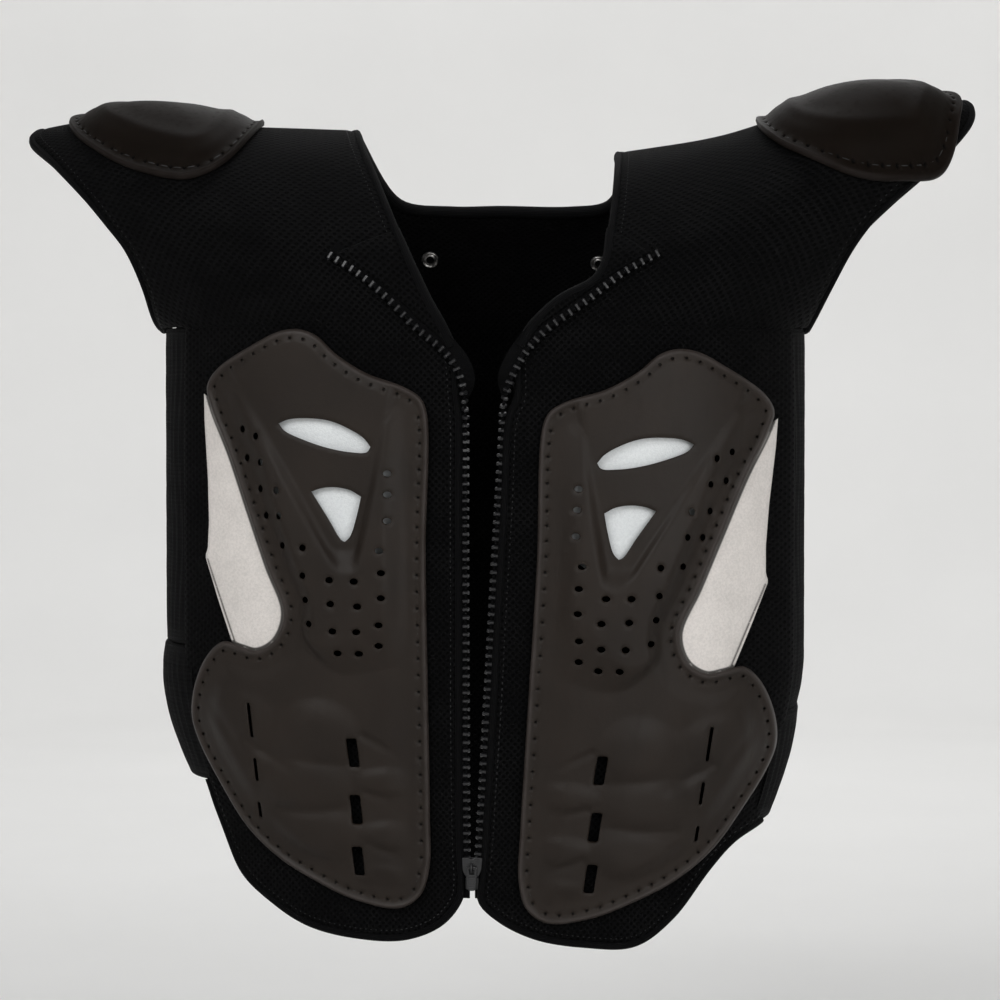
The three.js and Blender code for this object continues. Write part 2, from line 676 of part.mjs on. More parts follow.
function lapelOutline(half) {
  const edge = edgeOf(half, lapelEdge, neckDrop, neckHalfWidth);
  const fold = edgeOf(half, neckline, neckDrop, neckHalfWidth).slice(1, 5);
  const foldUp = [...fold].reverse();
  const inset = edge.map(({ out, down }, i) => {
    const from = edge[Math.max(i - 1, 0)];
    const to = edge[Math.min(i + 1, edge.length - 1)];
    const run = new THREE.Vector2(to.out - from.out, to.down - from.down).normalize();
    return { out: out - Math.abs(run.y) * panelInset, down: down - Math.abs(run.x) * panelInset };
  }).filter(({ out, down }) => out > along(foldUp, 'down', 'out', down) + padding / 2);
  return [...inset, ...fold].map(({ out, down }) => ({ x: half.sign * out, z: -down }));
}

const flat = (height) => () => height;

// Columns crowd towards the sides, where the surface turns away
const turningShares = [0.9, 0.94, 0.97, viewLimit];
const sharesOut = (steps) => [...spread(0, 0.84, steps), ...turningShares];
const panelSteps = 6;
const lapelSteps = 12;

function frontWall(half, inner, outer, from = frontBottom, steps = panelSteps) {
  const columns = sharesOut(steps).map((share) => half.sign * share);
  const rows = [...spread(from, 0, 6), ...spread(0, 1, 6).slice(1)];
  const place = (share, rise) => onBody(share, rise, -1);
  return toSolid(wall(columns, rows, place, flat(inner), flat(outer)));
}

const frontBottom = armpitDrop - vestDrop - padding;
const onPanel = padding + gap;

// The same wall, a clearance thicker, which trims whatever lies on the panel
const frontClearance = (half) => frontWall(half, 0, onPanel);

for (const half of halves) {
  const panel = frontWall(half, 0, padding).intersect(throughFront(frontOutline(half)));
  const lapelTop = padding + lapelThickness;
  const lapelWall = frontWall(half, padding - 1, lapelTop, -armpitDrop / 2, lapelSteps);
  const lapel = lapelWall.intersect(throughFront(lapelOutline(half)));
  const joined = panel.add(lapel).subtract(tapeRoom(half));
  add(`front_panel_${half.name}`, fromSolid(joined), meshCloth);
}

// Back panel

function backWall(inner, outer) {
  const outward = sharesOut(panelSteps);
  const columns = [...outward.slice(1).map((share) => -share).reverse(), ...outward];
  const sideRows = spread(armpitDrop - backHemDrop, 0, 3);
  const rows = [sideRows[0] - tailDrop, ...sideRows, ...spread(0, 1, 6).slice(1)];
  const place = (share, rise) => onBody(share, rise, 1);
  return toSolid(wall(columns, rows, place, flat(inner), flat(outer)));
}

// Ring rivets pressed a little way into the inside of the back, and the shallow seat that each one takes

const rivetDepth = 0.6;

function rivetSeat(half) {
  const share = half.sign * half.rivetOut / halfWidth(-half.rivetDown);
  const lift = (armpitDrop - half.rivetDown) / archHeight(share);
  return onBody(share, Math.asin(lift) * 2 / Math.PI, 1);
}

function turned(half, profile, depth) {
  const seat = rivetSeat(half);
  const sides = 12;
  const section = profile.map(([radius, height]) => new THREE.Vector2(radius, height));
  const inward = seat.normal.clone().negate();
  const toInside = new THREE.Quaternion().setFromUnitVectors(new THREE.Vector3(0, 1, 0), inward);
  const geometry = new THREE.LatheGeometry(section, sides);
  return geometry.applyQuaternion(toInside).translate(...raised(seat, depth).toArray());
}

function rivetRoom(half) {
  const radius = rivetRadius + gap;
  const cylinder = [[0, 0], [radius, 0], [radius, padding], [0, padding]];
  return toSolid(turned(half, cylinder, rivetDepth + gap));
}

for (const half of halves) {
  const slope = 0.7;
  const profile = [[rivetBore, 0], [rivetRadius, 0], [rivetRadius - slope, rivetThickness],
    [rivetBore + slope, rivetThickness], [rivetBore, 0]];
  add(`rivet_${half.name}`, turned(half, profile, rivetDepth), darkMetal);
}

// Back neckline from right to left: across in shares of neckHalfWidth, down in shares of backNeckDrop
const backNeckline = [
  { across: 1.02, down: -0.82 }, { across: 1.02, down: 0.41 }, { across: 0.87, down: 0.95 },
  { across: 0.58, down: 1.02 }, { across: 0.00, down: 1.00 }, { across: -0.36, down: 1.00 },
  { across: -0.75, down: 0.91 }, { across: -1.00, down: 0.05 }, { across: -1.00, down: -0.82 },
];

// The back's tail from its side inwards: across in shares of the hem's half width, down in shares of tailDrop
const backTail = [{ across: 0.94, down: 0.40 }, { across: 0.80, down: 0.78 }, { across: 0.52, down: 1.00 }];

function backOutline() {
  const side = (half) => [
    ...seamLine(backSeamShare, armpitDrop, backHemDrop).reverse(),
    ...edgeOf(half, armhole, armpitDrop, bodyHalfWidth),
  ].map(({ out, down }) => ({ x: half.sign * out, z: -down }));
  const neck = backNeckline.map(({ across, down }) => (
    { x: across * neckHalfWidth, z: -down * backNeckDrop }));
  const hemOut = seamOut(backSeamShare, backHemDrop);
  const tail = (half) => backTail.map(({ across, down }) => (
    { x: half.sign * across * hemOut, z: -backHemDrop - down * tailDrop }));
  const [left, right] = halves;
  return [...tail(right).reverse(), ...side(right), ...neck, ...side(left).reverse(), ...tail(left)];
}

const rivetSeats = rivetRoom(halves[0]).add(rivetRoom(halves[1]));
const backSheet = backWall(0, padding).intersect(throughBack(backOutline()));
add('back_panel', fromSolid(backSheet.subtract(rivetSeats)), meshCloth);

// Elastic sides and waist bands, wrapped round the side from front seam to back seam

function aroundSide(half, top, bottom, inner, outer, steps) {
  const shares = [0.8, 0.87, 0.93, 0.97, 0.993];
  const strip = (share) => seamLine(share, top - padding, bottom + padding);
  const columns = [
    ...shares.map((share) => ({ share, face: -1 })), { share: 1, face: -1 },
    ...shares.map((share) => ({ share, face: 1 })).reverse(),
  ];
  const rows = spread(armpitDrop - bottom, armpitDrop - top, steps);
  const place = ({ share, face }, rise) => onBody(half.sign * share, rise, face);
  const around = toSolid(wall(columns, rows, place, inner, outer));
  const region = (share) => [
    ...strip(share).map(({ out, down }) => ({ x: half.sign * (out + gap), z: -down })),
    { x: 0, z: -bottom - padding },
    { x: 0, z: -top + padding },
  ];
  const front = frontBlock(region(half.seam), frontReach, 0);
  const back = frontBlock(region(backSeamShare), 0, backReach);
  return around.subtract(front).subtract(back);
}

function sideWall(half, margin) {
  const outer = elasticInset + elasticThickness + margin;
  const steps = 6;
  return aroundSide(half, armpitDrop + gap, half.bandTop - gap, flat(elasticInset), flat(outer), steps);
}

function bandWall(half, margin) {
  const bulge = ({ point }) => {
    const share = clamp((-point.z - half.bandTop) / (half.bandBottom - half.bandTop), 0, 1);
    return elasticInset + bandBulge * Math.sin(Math.PI * share);
  };
  const outer = (seat) => bulge(seat) + bandThickness + margin;
  const steps = 5;
  return aroundSide(half, half.bandTop, half.bandBottom, bulge, outer, steps);
}

for (const half of halves) {
  add(`side_panel_${half.name}`, fromSolid(sideWall(half, 0)), elasticCloth);
  add(`waist_band_${half.name}`, fromSolid(bandWall(half, 0)), elasticCloth);
}

// What lies on the cloth is trimmed by all of it, a clearance thicker
const clothClearance = (half) => frontClearance(half).add(sideWall(half, gap)).add(bandWall(half, gap));

// Chest shells

const shellSeat = onPanel + gap;

// Cuts in what lies on the front stop well inside the body
const frontCutEnd = -0.2 * frontDepth;

function cutter(half, points) {
  return frontBlock(points.map((place) => onShell(half, place)), frontReach, frontCutEnd);
}

const outlineSteps = 42;
const shellEdge = (half) => rounded(shellOutline.map((place) => onShell(half, place)), outlineSteps);

function ringAround({ out, down }, diameter, sides) {
  return spread(0, 1, sides).slice(0, sides).map((t) => {
    const turn = 2 * Math.PI * (t + 0.5 / sides);
    return {
      out: out + Math.cos(turn) * diameter / 2 / shellWidth,
      down: down + Math.sin(turn) * diameter / 2 / shellHeight,
    };
  });
}

function slotAround({ out, down, length = 1 }, width) {
  const x = width / 2 / shellWidth;
  const y = slotLength * length / 2 / shellHeight;
  const lean = slotLean * y * shellHeight / shellWidth;
  return [[-x, -y], [x, -y], [x, y], [-x, y]].map(([dx, dy]) => ({
    out: out + dx - Math.sign(dy) * lean,
    down: down + dy,
  }));
}

// A sheet over the shell's box and a margin, in shares of its width and height
function shellWall(half) {
  const margin = { out: 0.1, down: 0.035 };
  const top = half.shellDown - shellHeight * (shellCentre.down + margin.down);
  const bottom = half.shellDown + shellHeight * (1 - shellCentre.down + margin.down);
  const inner = half.shellOut - shellWidth * (shellCentre.out + margin.out);
  const widest = half.shellOut + shellWidth * (1 - shellCentre.out + margin.out);
  const seat = shellSeat + shellThickness / 2;
  const steps = { across: 10, up: 22 };
  const place = (t, z) => {
    const outer = Math.min(widest, viewLimit * halfWidth(z));
    return onFront(half.sign * mix(inner, outer, t), z);
  };
  const relief = (at) => {
    const middle = raised(at, seat);
    return shellRelief(shellShare(half, middle.x, middle.z));
  };
  const low = (at) => shellSeat + relief(at);
  const high = (at) => low(at) + shellThickness;
  return toSolid(wall(spread(0, 1, steps.across), spread(-bottom, -top, steps.up), place, low, high));
}

for (const half of halves) {
  let shell = shellWall(half).intersect(frontBlock(shellEdge(half), frontReach, frontCutEnd));
  const cuts = [
    upperWindow,
    lowerWindow,
    ...perforations.map((hole) => ringAround(hole, perforation, perforationSides)),
    ...slots.map((slot) => slotAround(slot, slotWidth)),
    ...slits.map((slit) => slotAround(slit, slitWidth)),
  ];
  for (const cut of cuts) shell = shell.subtract(cutter(half, cut));
  shell = shell.subtract(clothClearance(half));
  add(`chest_shell_${half.name}`, fromSolid(shell), armour);
}

// Reflective cloth: a sheet behind the windows and a tongue beside each shell

function sheetOn(half, points) {
  const sheet = frontWall(half, onPanel, onPanel + reflectorThickness);
  const sides = sideWall(half, gap).add(bandWall(half, gap));
  return sheet.intersect(cutter(half, points)).subtract(sides);
}

for (const half of halves) {
  const reach = patch.map(({ out, down }) => ({
    out: patchCentre.out + (out - patchCentre.out) * half.patch,
    down: patchCentre.down + (down - patchCentre.down) * half.patch,
  }));
  add(`chest_reflector_${half.name}`, fromSolid(sheetOn(half, reach)), silverCloth);
  const edge = shellEdge(half);
  const clear = edge.map((point, i) => {
    const next = edge[(i + 1) % edge.length];
    const before = edge[(i + edge.length - 1) % edge.length];
    const run = new THREE.Vector2(next.x - before.x, next.z - before.z).normalize();
    const away = half.sign * 2 * gap;
    return { x: point.x + run.y * away, z: point.z - run.x * away };
  });
  const strip = sheetOn(half, tongue).subtract(frontBlock(clear, frontReach, 0));
  add(`side_reflector_${half.name}`, fromSolid(strip), silverCloth);
}

// Shoulder caps: a dome with a flange, in rings round its middle

const capSeat = onPanel + 2 * gap;

// Rings from the middle out: their share of the outline and of capRelief
const capRings = [
  { reach: 0, dome: 1 }, { reach: 0.25, dome: 0.93 }, { reach: 0.5, dome: 0.75 },
  { reach: 0.68, dome: 0.55 }, { reach: 0.8, dome: 0.35 }, { reach: 0.88, dome: 0 },
  { reach: 1, dome: 0 },
];

function capGeometry(half) {
  const sectors = 20;
  const corners = capOutline[half.name].map(({ out, back }) => ({ x: out, z: back }));
  const outline = rounded(corners, sectors);
  const points = [];
  const ringAt = ({ reach, dome }, offset) => outline.slice(0, reach ? sectors : 1).map((edge) => {
    const x = half.sign * (half.capOut + reach * edge.x * capHalfWidth);
    const back = half.capBack + reach * edge.z * capHalfDepth;
    points.push(raised(onShoulder(x, back, half.capOut), capSeat + capRelief * dome + offset));
    return points.length - 1;
  });
  const sheets = [0, capThickness].map((offset) => capRings.map((ring) => ringAt(ring, offset)));
  const triangles = [];
  for (const [layer, sheet] of sheets.entries()) {
    for (let i = 0; i < sectors; i += 1) {
      const next = (i + 1) % sectors;
      const faces = [[sheet[0][0], sheet[1][i], sheet[1][next]]];
      for (let k = 1; k < sheet.length - 1; k += 1) {
        const [near, far] = [sheet[k], sheet[k + 1]];
        faces.push([near[i], far[i], far[next]], [near[i], far[next], near[next]]);
      }
      triangles.push(...faces.map(([a, b, c]) => (layer ? [a, b, c] : [a, c, b])));
    }
  }
  const [low, high] = sheets.map((sheet) => sheet[sheet.length - 1]);
  for (let i = 0; i < sectors; i += 1) {
    const next = (i + 1) % sectors;
    triangles.push([low[i], low[next], high[next]], [low[i], high[next], high[i]]);
  }
  return facingOut(points, triangles);
}

const backClearance = backWall(0, onPanel);

for (const half of halves) {
  const cap = toSolid(capGeometry(half)).subtract(frontClearance(half).add(backClearance));
  add(`shoulder_cap_${half.name}`, fromSolid(cap), armour);
}

// Slider, its bail and pull, and the retainer box under it

const sliderCentre = raised(onFront(zipMiddle, -zipTravel), beadLift);
const hardware = new THREE.Group();
hardware.position.copy(sliderCentre);
vest.add(hardware);

function plate(outline, thickness, hole = null) {
  const shape = new THREE.Shape(outline.map(([x, z]) => new THREE.Vector2(x, z)));
  if (hole) shape.holes.push(new THREE.Path(hole.map(([x, z]) => new THREE.Vector2(x, z))));
  const geometry = new THREE.ExtrudeGeometry(shape, { depth: thickness, bevelEnabled: false });
  geometry.rotateX(Math.PI / 2);
  geometry.translate(0, thickness / 2, 0);
  return geometry;
}

const sliderFront = -sliderThickness / 2;
const bailCentre = sliderFront - bailRadius + bailWire / 2;

// Outline of the slider's plates, in shares of its half width and half height
const sliderOutline = [
  [-1, 1], [-1, 0], [-0.6, -1], [0.6, -1], [1, 0], [1, 1], [0.3, 1], [0, 0.8], [-0.3, 1],
];

function sliderGeometry() {
  const corners = sliderOutline.map(([x, z]) => [x * sliderWidth / 2, z * sliderHeight / 2]);
  const body = plate(corners, sliderThickness);
  const reach = 0.75 * Math.PI;
  const bend = spread(-reach, reach, 9).map((turn) => {
    const out = new THREE.Vector3(0, -Math.cos(turn), Math.sin(turn));
    const origin = new THREE.Vector3(0, bailCentre, 0).addScaledVector(out, bailRadius);
    return { origin, side: new THREE.Vector3(1, 0, 0), out };
  });
  const wireSides = 6;
  const round = spread(0, 2 * Math.PI, wireSides).slice(0, wireSides)
    .map((turn) => [bailWire * Math.cos(turn), bailWire * Math.sin(turn)]);
  const toSlider = sliderCentre.clone().negate().toArray();
  const rooms = tapeRoom(halves[0]).add(tapeRoom(halves[1])).translate(toSlider);
  return fromSolid(toSolid(body).subtract(rooms).add(toSolid(bar(bend, round))));
}

add('zip_slider', sliderGeometry(), darkMetal, hardware);

const eyeHalf = bailWire + 2 * gap;
const eyeEnd = bailRadius + bailWire + 3 * gap;
const pullHalf = pullWidth / 2;
const crossbar = pullThickness / 2;
const pullShoulder = -eyeEnd - 1;
const pullRight = [
  [pullHalf * 0.5, -pullLength], [pullHalf * 0.8, -pullLength + 1],
  [pullHalf, pullShoulder], [pullHalf, crossbar],
];
const pullLeft = pullRight.map(([x, z]) => [-x, z]).reverse();
const pullEye = [
  [-eyeHalf, -crossbar], [eyeHalf, -crossbar], [eyeHalf, -eyeEnd], [-eyeHalf, -eyeEnd],
];
const pull = plate([...pullLeft, ...pullRight], pullThickness, pullEye);
const pullMesh = add('zip_pull', pull, darkMetal, hardware);
pullMesh.position.set(0, bailCentre, 0);

const boxHalf = boxWidth / 2;
const boxOutline = [[-boxHalf, 0], [-boxHalf, -boxHeight], [boxHalf, -boxHeight], [boxHalf, 0]];
const box = plate(boxOutline, beadSize + 2 * gap);
const boxMesh = add('zip_box', box, zipPlastic, hardware);
boxMesh.position.set(0, 0, -sliderHeight / 2 - gap);

export default vest;
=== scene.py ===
# %% [markdown]
# # An armoured vest, dressed
# The frame holds the vest's solids at their real size. This script gives each of them the look of the real
# piece: padded mesh cloth, moulded plates, silver cloth, a zip and small metal parts.

# %% Load the frame
import math
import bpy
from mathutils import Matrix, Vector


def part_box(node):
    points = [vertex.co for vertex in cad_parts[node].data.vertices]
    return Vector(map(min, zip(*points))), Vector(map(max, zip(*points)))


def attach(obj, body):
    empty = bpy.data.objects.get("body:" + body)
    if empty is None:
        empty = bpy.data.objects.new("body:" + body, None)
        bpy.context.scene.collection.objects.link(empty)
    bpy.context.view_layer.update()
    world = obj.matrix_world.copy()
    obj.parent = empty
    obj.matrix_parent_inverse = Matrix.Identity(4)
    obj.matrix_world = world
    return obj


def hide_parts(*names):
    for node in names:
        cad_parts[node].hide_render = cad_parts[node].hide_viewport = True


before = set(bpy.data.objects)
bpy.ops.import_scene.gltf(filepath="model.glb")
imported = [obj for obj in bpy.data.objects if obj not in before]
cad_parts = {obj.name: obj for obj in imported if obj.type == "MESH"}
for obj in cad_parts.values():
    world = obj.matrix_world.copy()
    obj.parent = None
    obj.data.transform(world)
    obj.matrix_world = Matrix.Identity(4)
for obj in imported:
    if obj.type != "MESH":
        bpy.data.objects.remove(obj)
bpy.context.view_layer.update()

from types import SimpleNamespace

import bpy
import numpy as np
from mathutils import Vector
from mathutils.geometry import delaunay_2d_cdt

print("nodes in the frame:", len(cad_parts))

# %% [markdown]
# ## Sizes
# The script needs the same sizes as the solids, because each dressed piece lies where its solid lies.
# Lengths are in metres, so they are written as millimetres times one value.

# %% Name the sizes
mm = 0.001
body_half_width = 184 * mm
front_depth = 128 * mm
back_depth = 112 * mm
armpit_drop = 118 * mm
wing_half_width = 310 * mm
wing_rise = 14 * mm
crest_rise = 18 * mm
plan_power = 2.8
waist_drop = 310 * mm
waist_taper = 22 * mm
belly_taper = 9 * mm
vest_drop = 468 * mm

padding = 8 * mm
lapel_thickness = 5 * mm
elastic_inset = 1.5 * mm
elastic_thickness = 4 * mm
band_thickness = 5 * mm
band_bulge = 3 * mm
back_hem_drop = 400 * mm
tail_drop = 55 * mm
neck_half_width = 80 * mm
neck_drop = 152 * mm
back_neck_drop = 44 * mm
back_seam_share = 0.89

shell_width = 142 * mm
shell_height = 327 * mm
shell_thickness = 3 * mm
cap_half_width = 56 * mm
cap_half_depth = 57 * mm

zip_travel = 424 * mm
zip_spread = 19 * mm
zip_middle = 1 * mm
bead = 4 * mm
tape_width = 4 * mm
slider_height = 11 * mm
slider_wedge = 1.8 * mm
gap = 0.3 * mm

half_shares = [
    dict(name="left", sign=-1, shell_out=0.457, shell_down=0.605, lean=0, seam=0.89, band_top=0.647,
         band_bottom=0.812, cap_out=0.613, cap_front=0.656, patch=1, rivet_out=0.54, rivet_down=0.62),
    dict(name="right", sign=1, shell_out=0.522, shell_down=0.627, lean=3, seam=0.965, band_top=0.726,
         band_bottom=0.865, cap_out=0.713, cap_front=0.648, patch=0.92, rivet_out=0.79, rivet_down=0.644),
]


def placed(half):
    """One half's places in metres, worked out from its shares of the vest's sizes."""
    half = SimpleNamespace(**half)
    half.shell_out *= body_half_width
    half.shell_down *= vest_drop
    half.band_top *= vest_drop
    half.band_bottom *= vest_drop
    half.cap_out *= wing_half_width
    half.cap_back = cap_half_depth - half.cap_front * front_depth
    half.rivet_out *= neck_half_width
    half.rivet_down *= armpit_drop
    half.turn = math.radians(half.lean)
    return half


halves = [placed(half) for half in half_shares]
print("halves:", [half.name for half in halves])

# %% [markdown]
# ## Tables of edges
# Each edge of the garment is a short table of places, in shares of the size that it follows. A smooth curve
# through the places gives as many points as a mesh needs.

# %% Edge tables
crest = [(-1, -.65), (-.9, -.28), (-.72, .05), (-.5, -.28), (-.27, -.44), (0, -.75), (.27, -1.2),
         (.36, -1.05), (.5, -.65), (.62, .05), (.74, .6), (.9, .5), (1, .25)]

# Down in shares of armpit_drop, then out in shares of body_half_width on the left and on the right
armhole = [(1, 1.045, 1.045), (.82, 1.035, 1.085), (.63, 1.085, 1.15), (.49, 1.16, 1.215),
           (.36, 1.24, 1.3), (.2, 1.355, 1.42), (.07, 1.465, 1.505), (-.03, 1.48, 1.55), (-.25, 1.47, 1.535)]

# Down in shares of neck_drop, then out in shares of neck_half_width
neckline = [(1.05, .09, .34), (.86, .13, .36), (.69, .3, .64), (.62, .365, .88), (.55, .43, .96),
            (.43, .54, .99), (.16, .8, 1.01), (.01, 1, 1.02), (-.3, 1, 1.02)]
lapel_edge = [(.54, .99, 1.3), (.61, .76, 1.05), (.7, .54, .81), (.79, .36, .55), (.87, .18, .41),
              (.94, .08, .33)]

# Out in shares of body_half_width, then down in shares of vest_drop
hem = [(.035, .942, .946), (.09, .972, .968), (.2, .991, .989), (.35, .991, .999), (.5, .979, .999),
       (.61, .956, .968), (.72, .92, .912), (.8, .853, .88)]

# Across in shares of neck_half_width, down in shares of back_neck_drop
back_neckline = [(1.02, -.82), (1.02, .41), (.87, .95), (.58, 1.02), (0, 1), (-.36, 1), (-.75, .91),
                 (-1, .05), (-1, -.82)]

# A shell's outline and openings: out from its inner edge in shares of shell_width, down of shell_height
shell_outline = [
    (.005, .15), (.012, .38), (.005, .64), (0, .84), (.003, .93), (.04, .978), (.122, 1), (.3, .988),
    (.466, .957), (.62, .92), (.76, .868), (.877, .795), (.972, .722), (.999, .68), (.98, .625),
    (.915, .568), (.845, .544), (.765, .552), (.7, .557), (.625, .538), (.587, .49), (.655, .41),
    (.737, .31), (.814, .217), (.895, .135), (.914, .1), (.87, .07), (.703, .025), (.597, .004),
    (.52, .001), (.449, .012), (.368, .044), (.25, .076), (.094, .101), (.03, .12)]
windows = [
    [[(.602, .163), (.56, .156), (.48, .154), (.395, .158), (.318, .171), (.255, .188), (.228, .203)],
     [(.228, .203), (.243, .212), (.31, .212), (.4, .205), (.5, .191), (.58, .175), (.602, .163)]],
    [[(.468, .28), (.428, .274), (.372, .272), (.31, .277), (.266, .288)],
     [(.266, .288), (.284, .322), (.311, .357), (.332, .366)],
     [(.332, .366), (.347, .363), (.4, .326), (.468, .28)]]]
perforations = [
    (.754, .173), (.696, .185), (.736, .223), (.677, .23), (.679, .276), (.609, .278), (.656, .322),
    (.598, .322), (.586, .373), (.5, .376), (.5, .424), (.392, .431), (.293, .433), (.492, .466),
    (.388, .472), (.28, .476), (.477, .507), (.38, .519), (.284, .52), (.36, .557), (.276, .558),
    (.161, .248), (.16, .284), (.161, .329), (.192, .38), (.184, .418), (.185, .461), (.195, .508),
    (.197, .544)]
slots = [(.305, .73, 1), (.294, .829, 1), (.287, .919, 1)]
slits = [(.728, .679, 1.2), (.708, .766, .8), (.697, .838, .55)]
recess_outer_leg = [(.8, .08), (.33, .44)]
recess_inner_leg = [(.14, .11), (.3, .44)]
recess_end = (.425, .375)
lip = [(0, .575), (.2, .592), (.33, .602), (.42, .586), (.5, .545), (.56, .48), (.66, .4), (1, .1)]
tongue = [(.93, .112), (.928, .16), (.913, .262), (.909, .335), (.915, .383), (.927, .396), (.87, .47),
          (.806, .548), (.765, .564), (.7, .569), (.61, .551), (.566, .49), (.635, .403), (.717, .303),
          (.794, .21), (.872, .13)]
tongue_seam = [(.915, .402), (.856, .472), (.796, .544)]
patch = [(.62, .125), (.665, .28), (.4, .4), (.27, .41), (.1, .36), (.12, .26), (.18, .14)]
patch_centre = (.38, .26)

# The back's tail from its side inwards: across in shares of the hem's half width, down of tail_drop
back_tail = [(.94, .4), (.8, .78), (.52, 1)]

# Out and back from a cap's middle, in shares of its half sizes
cap_outlines = {
    "left": [(-1.02, -.23), (-.82, -.8), (-.48, -1), (.03, -.94), (.44, -.75), (.83, -.38), (1, .08),
             (.89, .5), (.57, .82), (0, 1), (-.57, .96), (-.95, .58)],
    "right": [(-1, -.2), (-.85, -.6), (-.55, -.84), (-.2, -.95), (.25, -.93), (.7, -.78), (.94, -.3),
              (1.02, .08), (.9, .42), (.55, .72), (0, .95), (-.6, .9), (-.95, .5)]}
print("perforations in a shell:", len(perforations))

# %% [markdown]
# ## The body under the vest
# Cloth and plates all follow one smooth form, the wearer's body. A few formulas give a place on it and the
# direction that points away from it. numpy works them out for thousands of points at once.

# %% Smooth steps and tables


def ease(low, high, value):
    """0 before one value and 1 past the other, with a soft step between."""
    t = np.clip((value - low) / (high - low), 0, 1)
    return t * t * (3 - 2 * t)


def mix(start, end, t):
    return start + (end - start) * t


def along(table, at):
    """The smooth curve through rows of (key, value), at places in the key column."""
    keys, values = np.array(table, float).T
    last = len(keys) - 1
    at = np.clip(at, keys[0], keys[-1])
    i = np.clip(np.searchsorted(keys, at, side="left") - 1, 0, last - 1)
    steps = np.arange(last + 1)
    after, before = np.minimum(steps + 1, last), np.maximum(steps - 1, 0)
    slopes = (values[after] - values[before]) / (keys[after] - keys[before])
    width = keys[i + 1] - keys[i]
    t = (at - keys[i]) / width
    rise = values[i + 1] - values[i]
    start, end = slopes[i] * width, slopes[i + 1] * width
    return values[i] + start * t + (3 * rise - 2 * start - end) * t**2 + (start + end - 2 * rise) * t**3


print("crest at the left wing:", float(along(crest, -0.72)))

# %% The body's surface
flare_limit = 1.2
view_limit = 0.99
cut_limit = 0.996
arch_length = 190 * mm


def half_width(z):
    flare = np.clip((z + armpit_drop) / (armpit_drop + wing_rise), 0, flare_limit)
    taper = waist_taper * ease(waist_drop, back_hem_drop + waist_taper, -z)
    return mix(body_half_width, wing_half_width, flare) - taper


def depth_at(z, face):
    below = ease(0, 1, (-z - body_half_width) / (vest_drop - body_half_width))
    return np.where(face > 0, back_depth, front_depth - belly_taper * below**1.5)


def arch_height(share):
    return armpit_drop + crest_rise * along(crest, share)


def normal_at(share, lift, z, face):
    across, side = np.abs(share), np.sign(share)
    inward = np.maximum(1 - across**plan_power, 1e-9) ** (1 / plan_power)
    closing = np.sqrt(np.maximum(1 - lift * lift, 0))
    width, height = half_width(z), arch_height(share)
    step = 0.01
    crest_slope = (arch_height(share + step) - arch_height(share - step)) / (2 * step)
    flare_slope = (half_width(z + mm) - half_width(z - mm)) / (2 * mm)
    full = inward**plan_power
    sideways = side * across ** (plan_power - 1) / width * closing**2
    sideways = sideways - full * lift**2 * crest_slope / (height * width)
    outwards = face * inward ** (plan_power - 1) * closing / depth_at(z, face)
    upwards = full * lift / height - across**plan_power * flare_slope / width * closing**2
    normal = np.stack([sideways, outwards, upwards], axis=-1)
    return normal / np.linalg.norm(normal, axis=-1, keepdims=True)


def on_body(share, rise, face):
    """Places and normals. rise is in metres below the armpit, and from 0 to arch_length up the arch."""
    share, rise = np.broadcast_arrays(np.asarray(share, float), np.asarray(rise, float))
    turn = np.clip(rise / arch_length, 0, 1) * np.pi / 2
    lift = np.sin(turn)
    z = np.where(rise < 0, rise, lift * arch_height(share)) - armpit_drop
    inward = np.maximum(1 - np.abs(share) ** plan_power, 0) ** (1 / plan_power)
    y = face * depth_at(z, face) * inward * np.cos(turn)
    return np.stack([share * half_width(z), y, z], axis=-1), normal_at(share, lift, z, face)


def share_and_rise(x, z, edge=view_limit):
    """Where a place in the front view lies on the body."""
    share = np.clip(x / half_width(z), -edge, edge)
    lift = np.clip((z + armpit_drop) / arch_height(share), 0, 1)
    return share, np.where(lift > 0, np.arcsin(lift) * 2 / np.pi * arch_length, z + armpit_drop)


def settled(x, z, height, face, edge, rounds, creep):
    """Finds the places on the body that lie under front-view places a height off it, a step nearer each
    round. Gives their shares and rises, the places off the body and the body's normals."""
    base_x, base_z = np.array(x, float), np.array(z, float)
    height = np.broadcast_to(height, base_x.shape)[..., None]
    for _ in range(rounds):
        share, rise = share_and_rise(base_x, base_z, edge)
        points, normals = on_body(share, rise, face)
        stood = points + normals * height
        base_x = base_x + (x - stood[..., 0]) * creep
        base_z = base_z + (z - stood[..., 2]) * creep
    return share, rise, stood, normals


def on_front(x, z, height):
    """Places whose front view is x, z and that stand a height off the body, and the body's normals there."""
    return settled(x, z, height, -1, view_limit, 5, 0.8)[2:]


def on_shoulder(x, behind, middle):
    """Places on the shoulder arch. behind is how far behind the crest they lie at the cap's middle. Nearer
    the wing's tip the arch is shallower, and they lie closer to the crest."""
    face = np.where(behind < 0, -1, 1)
    reach = depth_at(0, face) * (1 - (middle / half_width(0)) ** plan_power) ** (1 / plan_power)
    lean = np.clip(np.abs(behind) / reach, 0, view_limit)
    lift = np.sqrt(1 - lean**2)
    share = np.clip(x / half_width(0), -view_limit, view_limit)
    for _ in range(12):
        z = lift * arch_height(share) - armpit_drop
        share = np.clip(x / half_width(z), -view_limit, view_limit)
    inward = (1 - np.abs(share) ** plan_power) ** (1 / plan_power)
    y = face * depth_at(z, face) * inward * lean
    return np.stack([x, y, z], axis=-1), normal_at(share, lift, z, face)


print("chest depth:", on_body(0.0, -0.1, -1)[0].round(3))

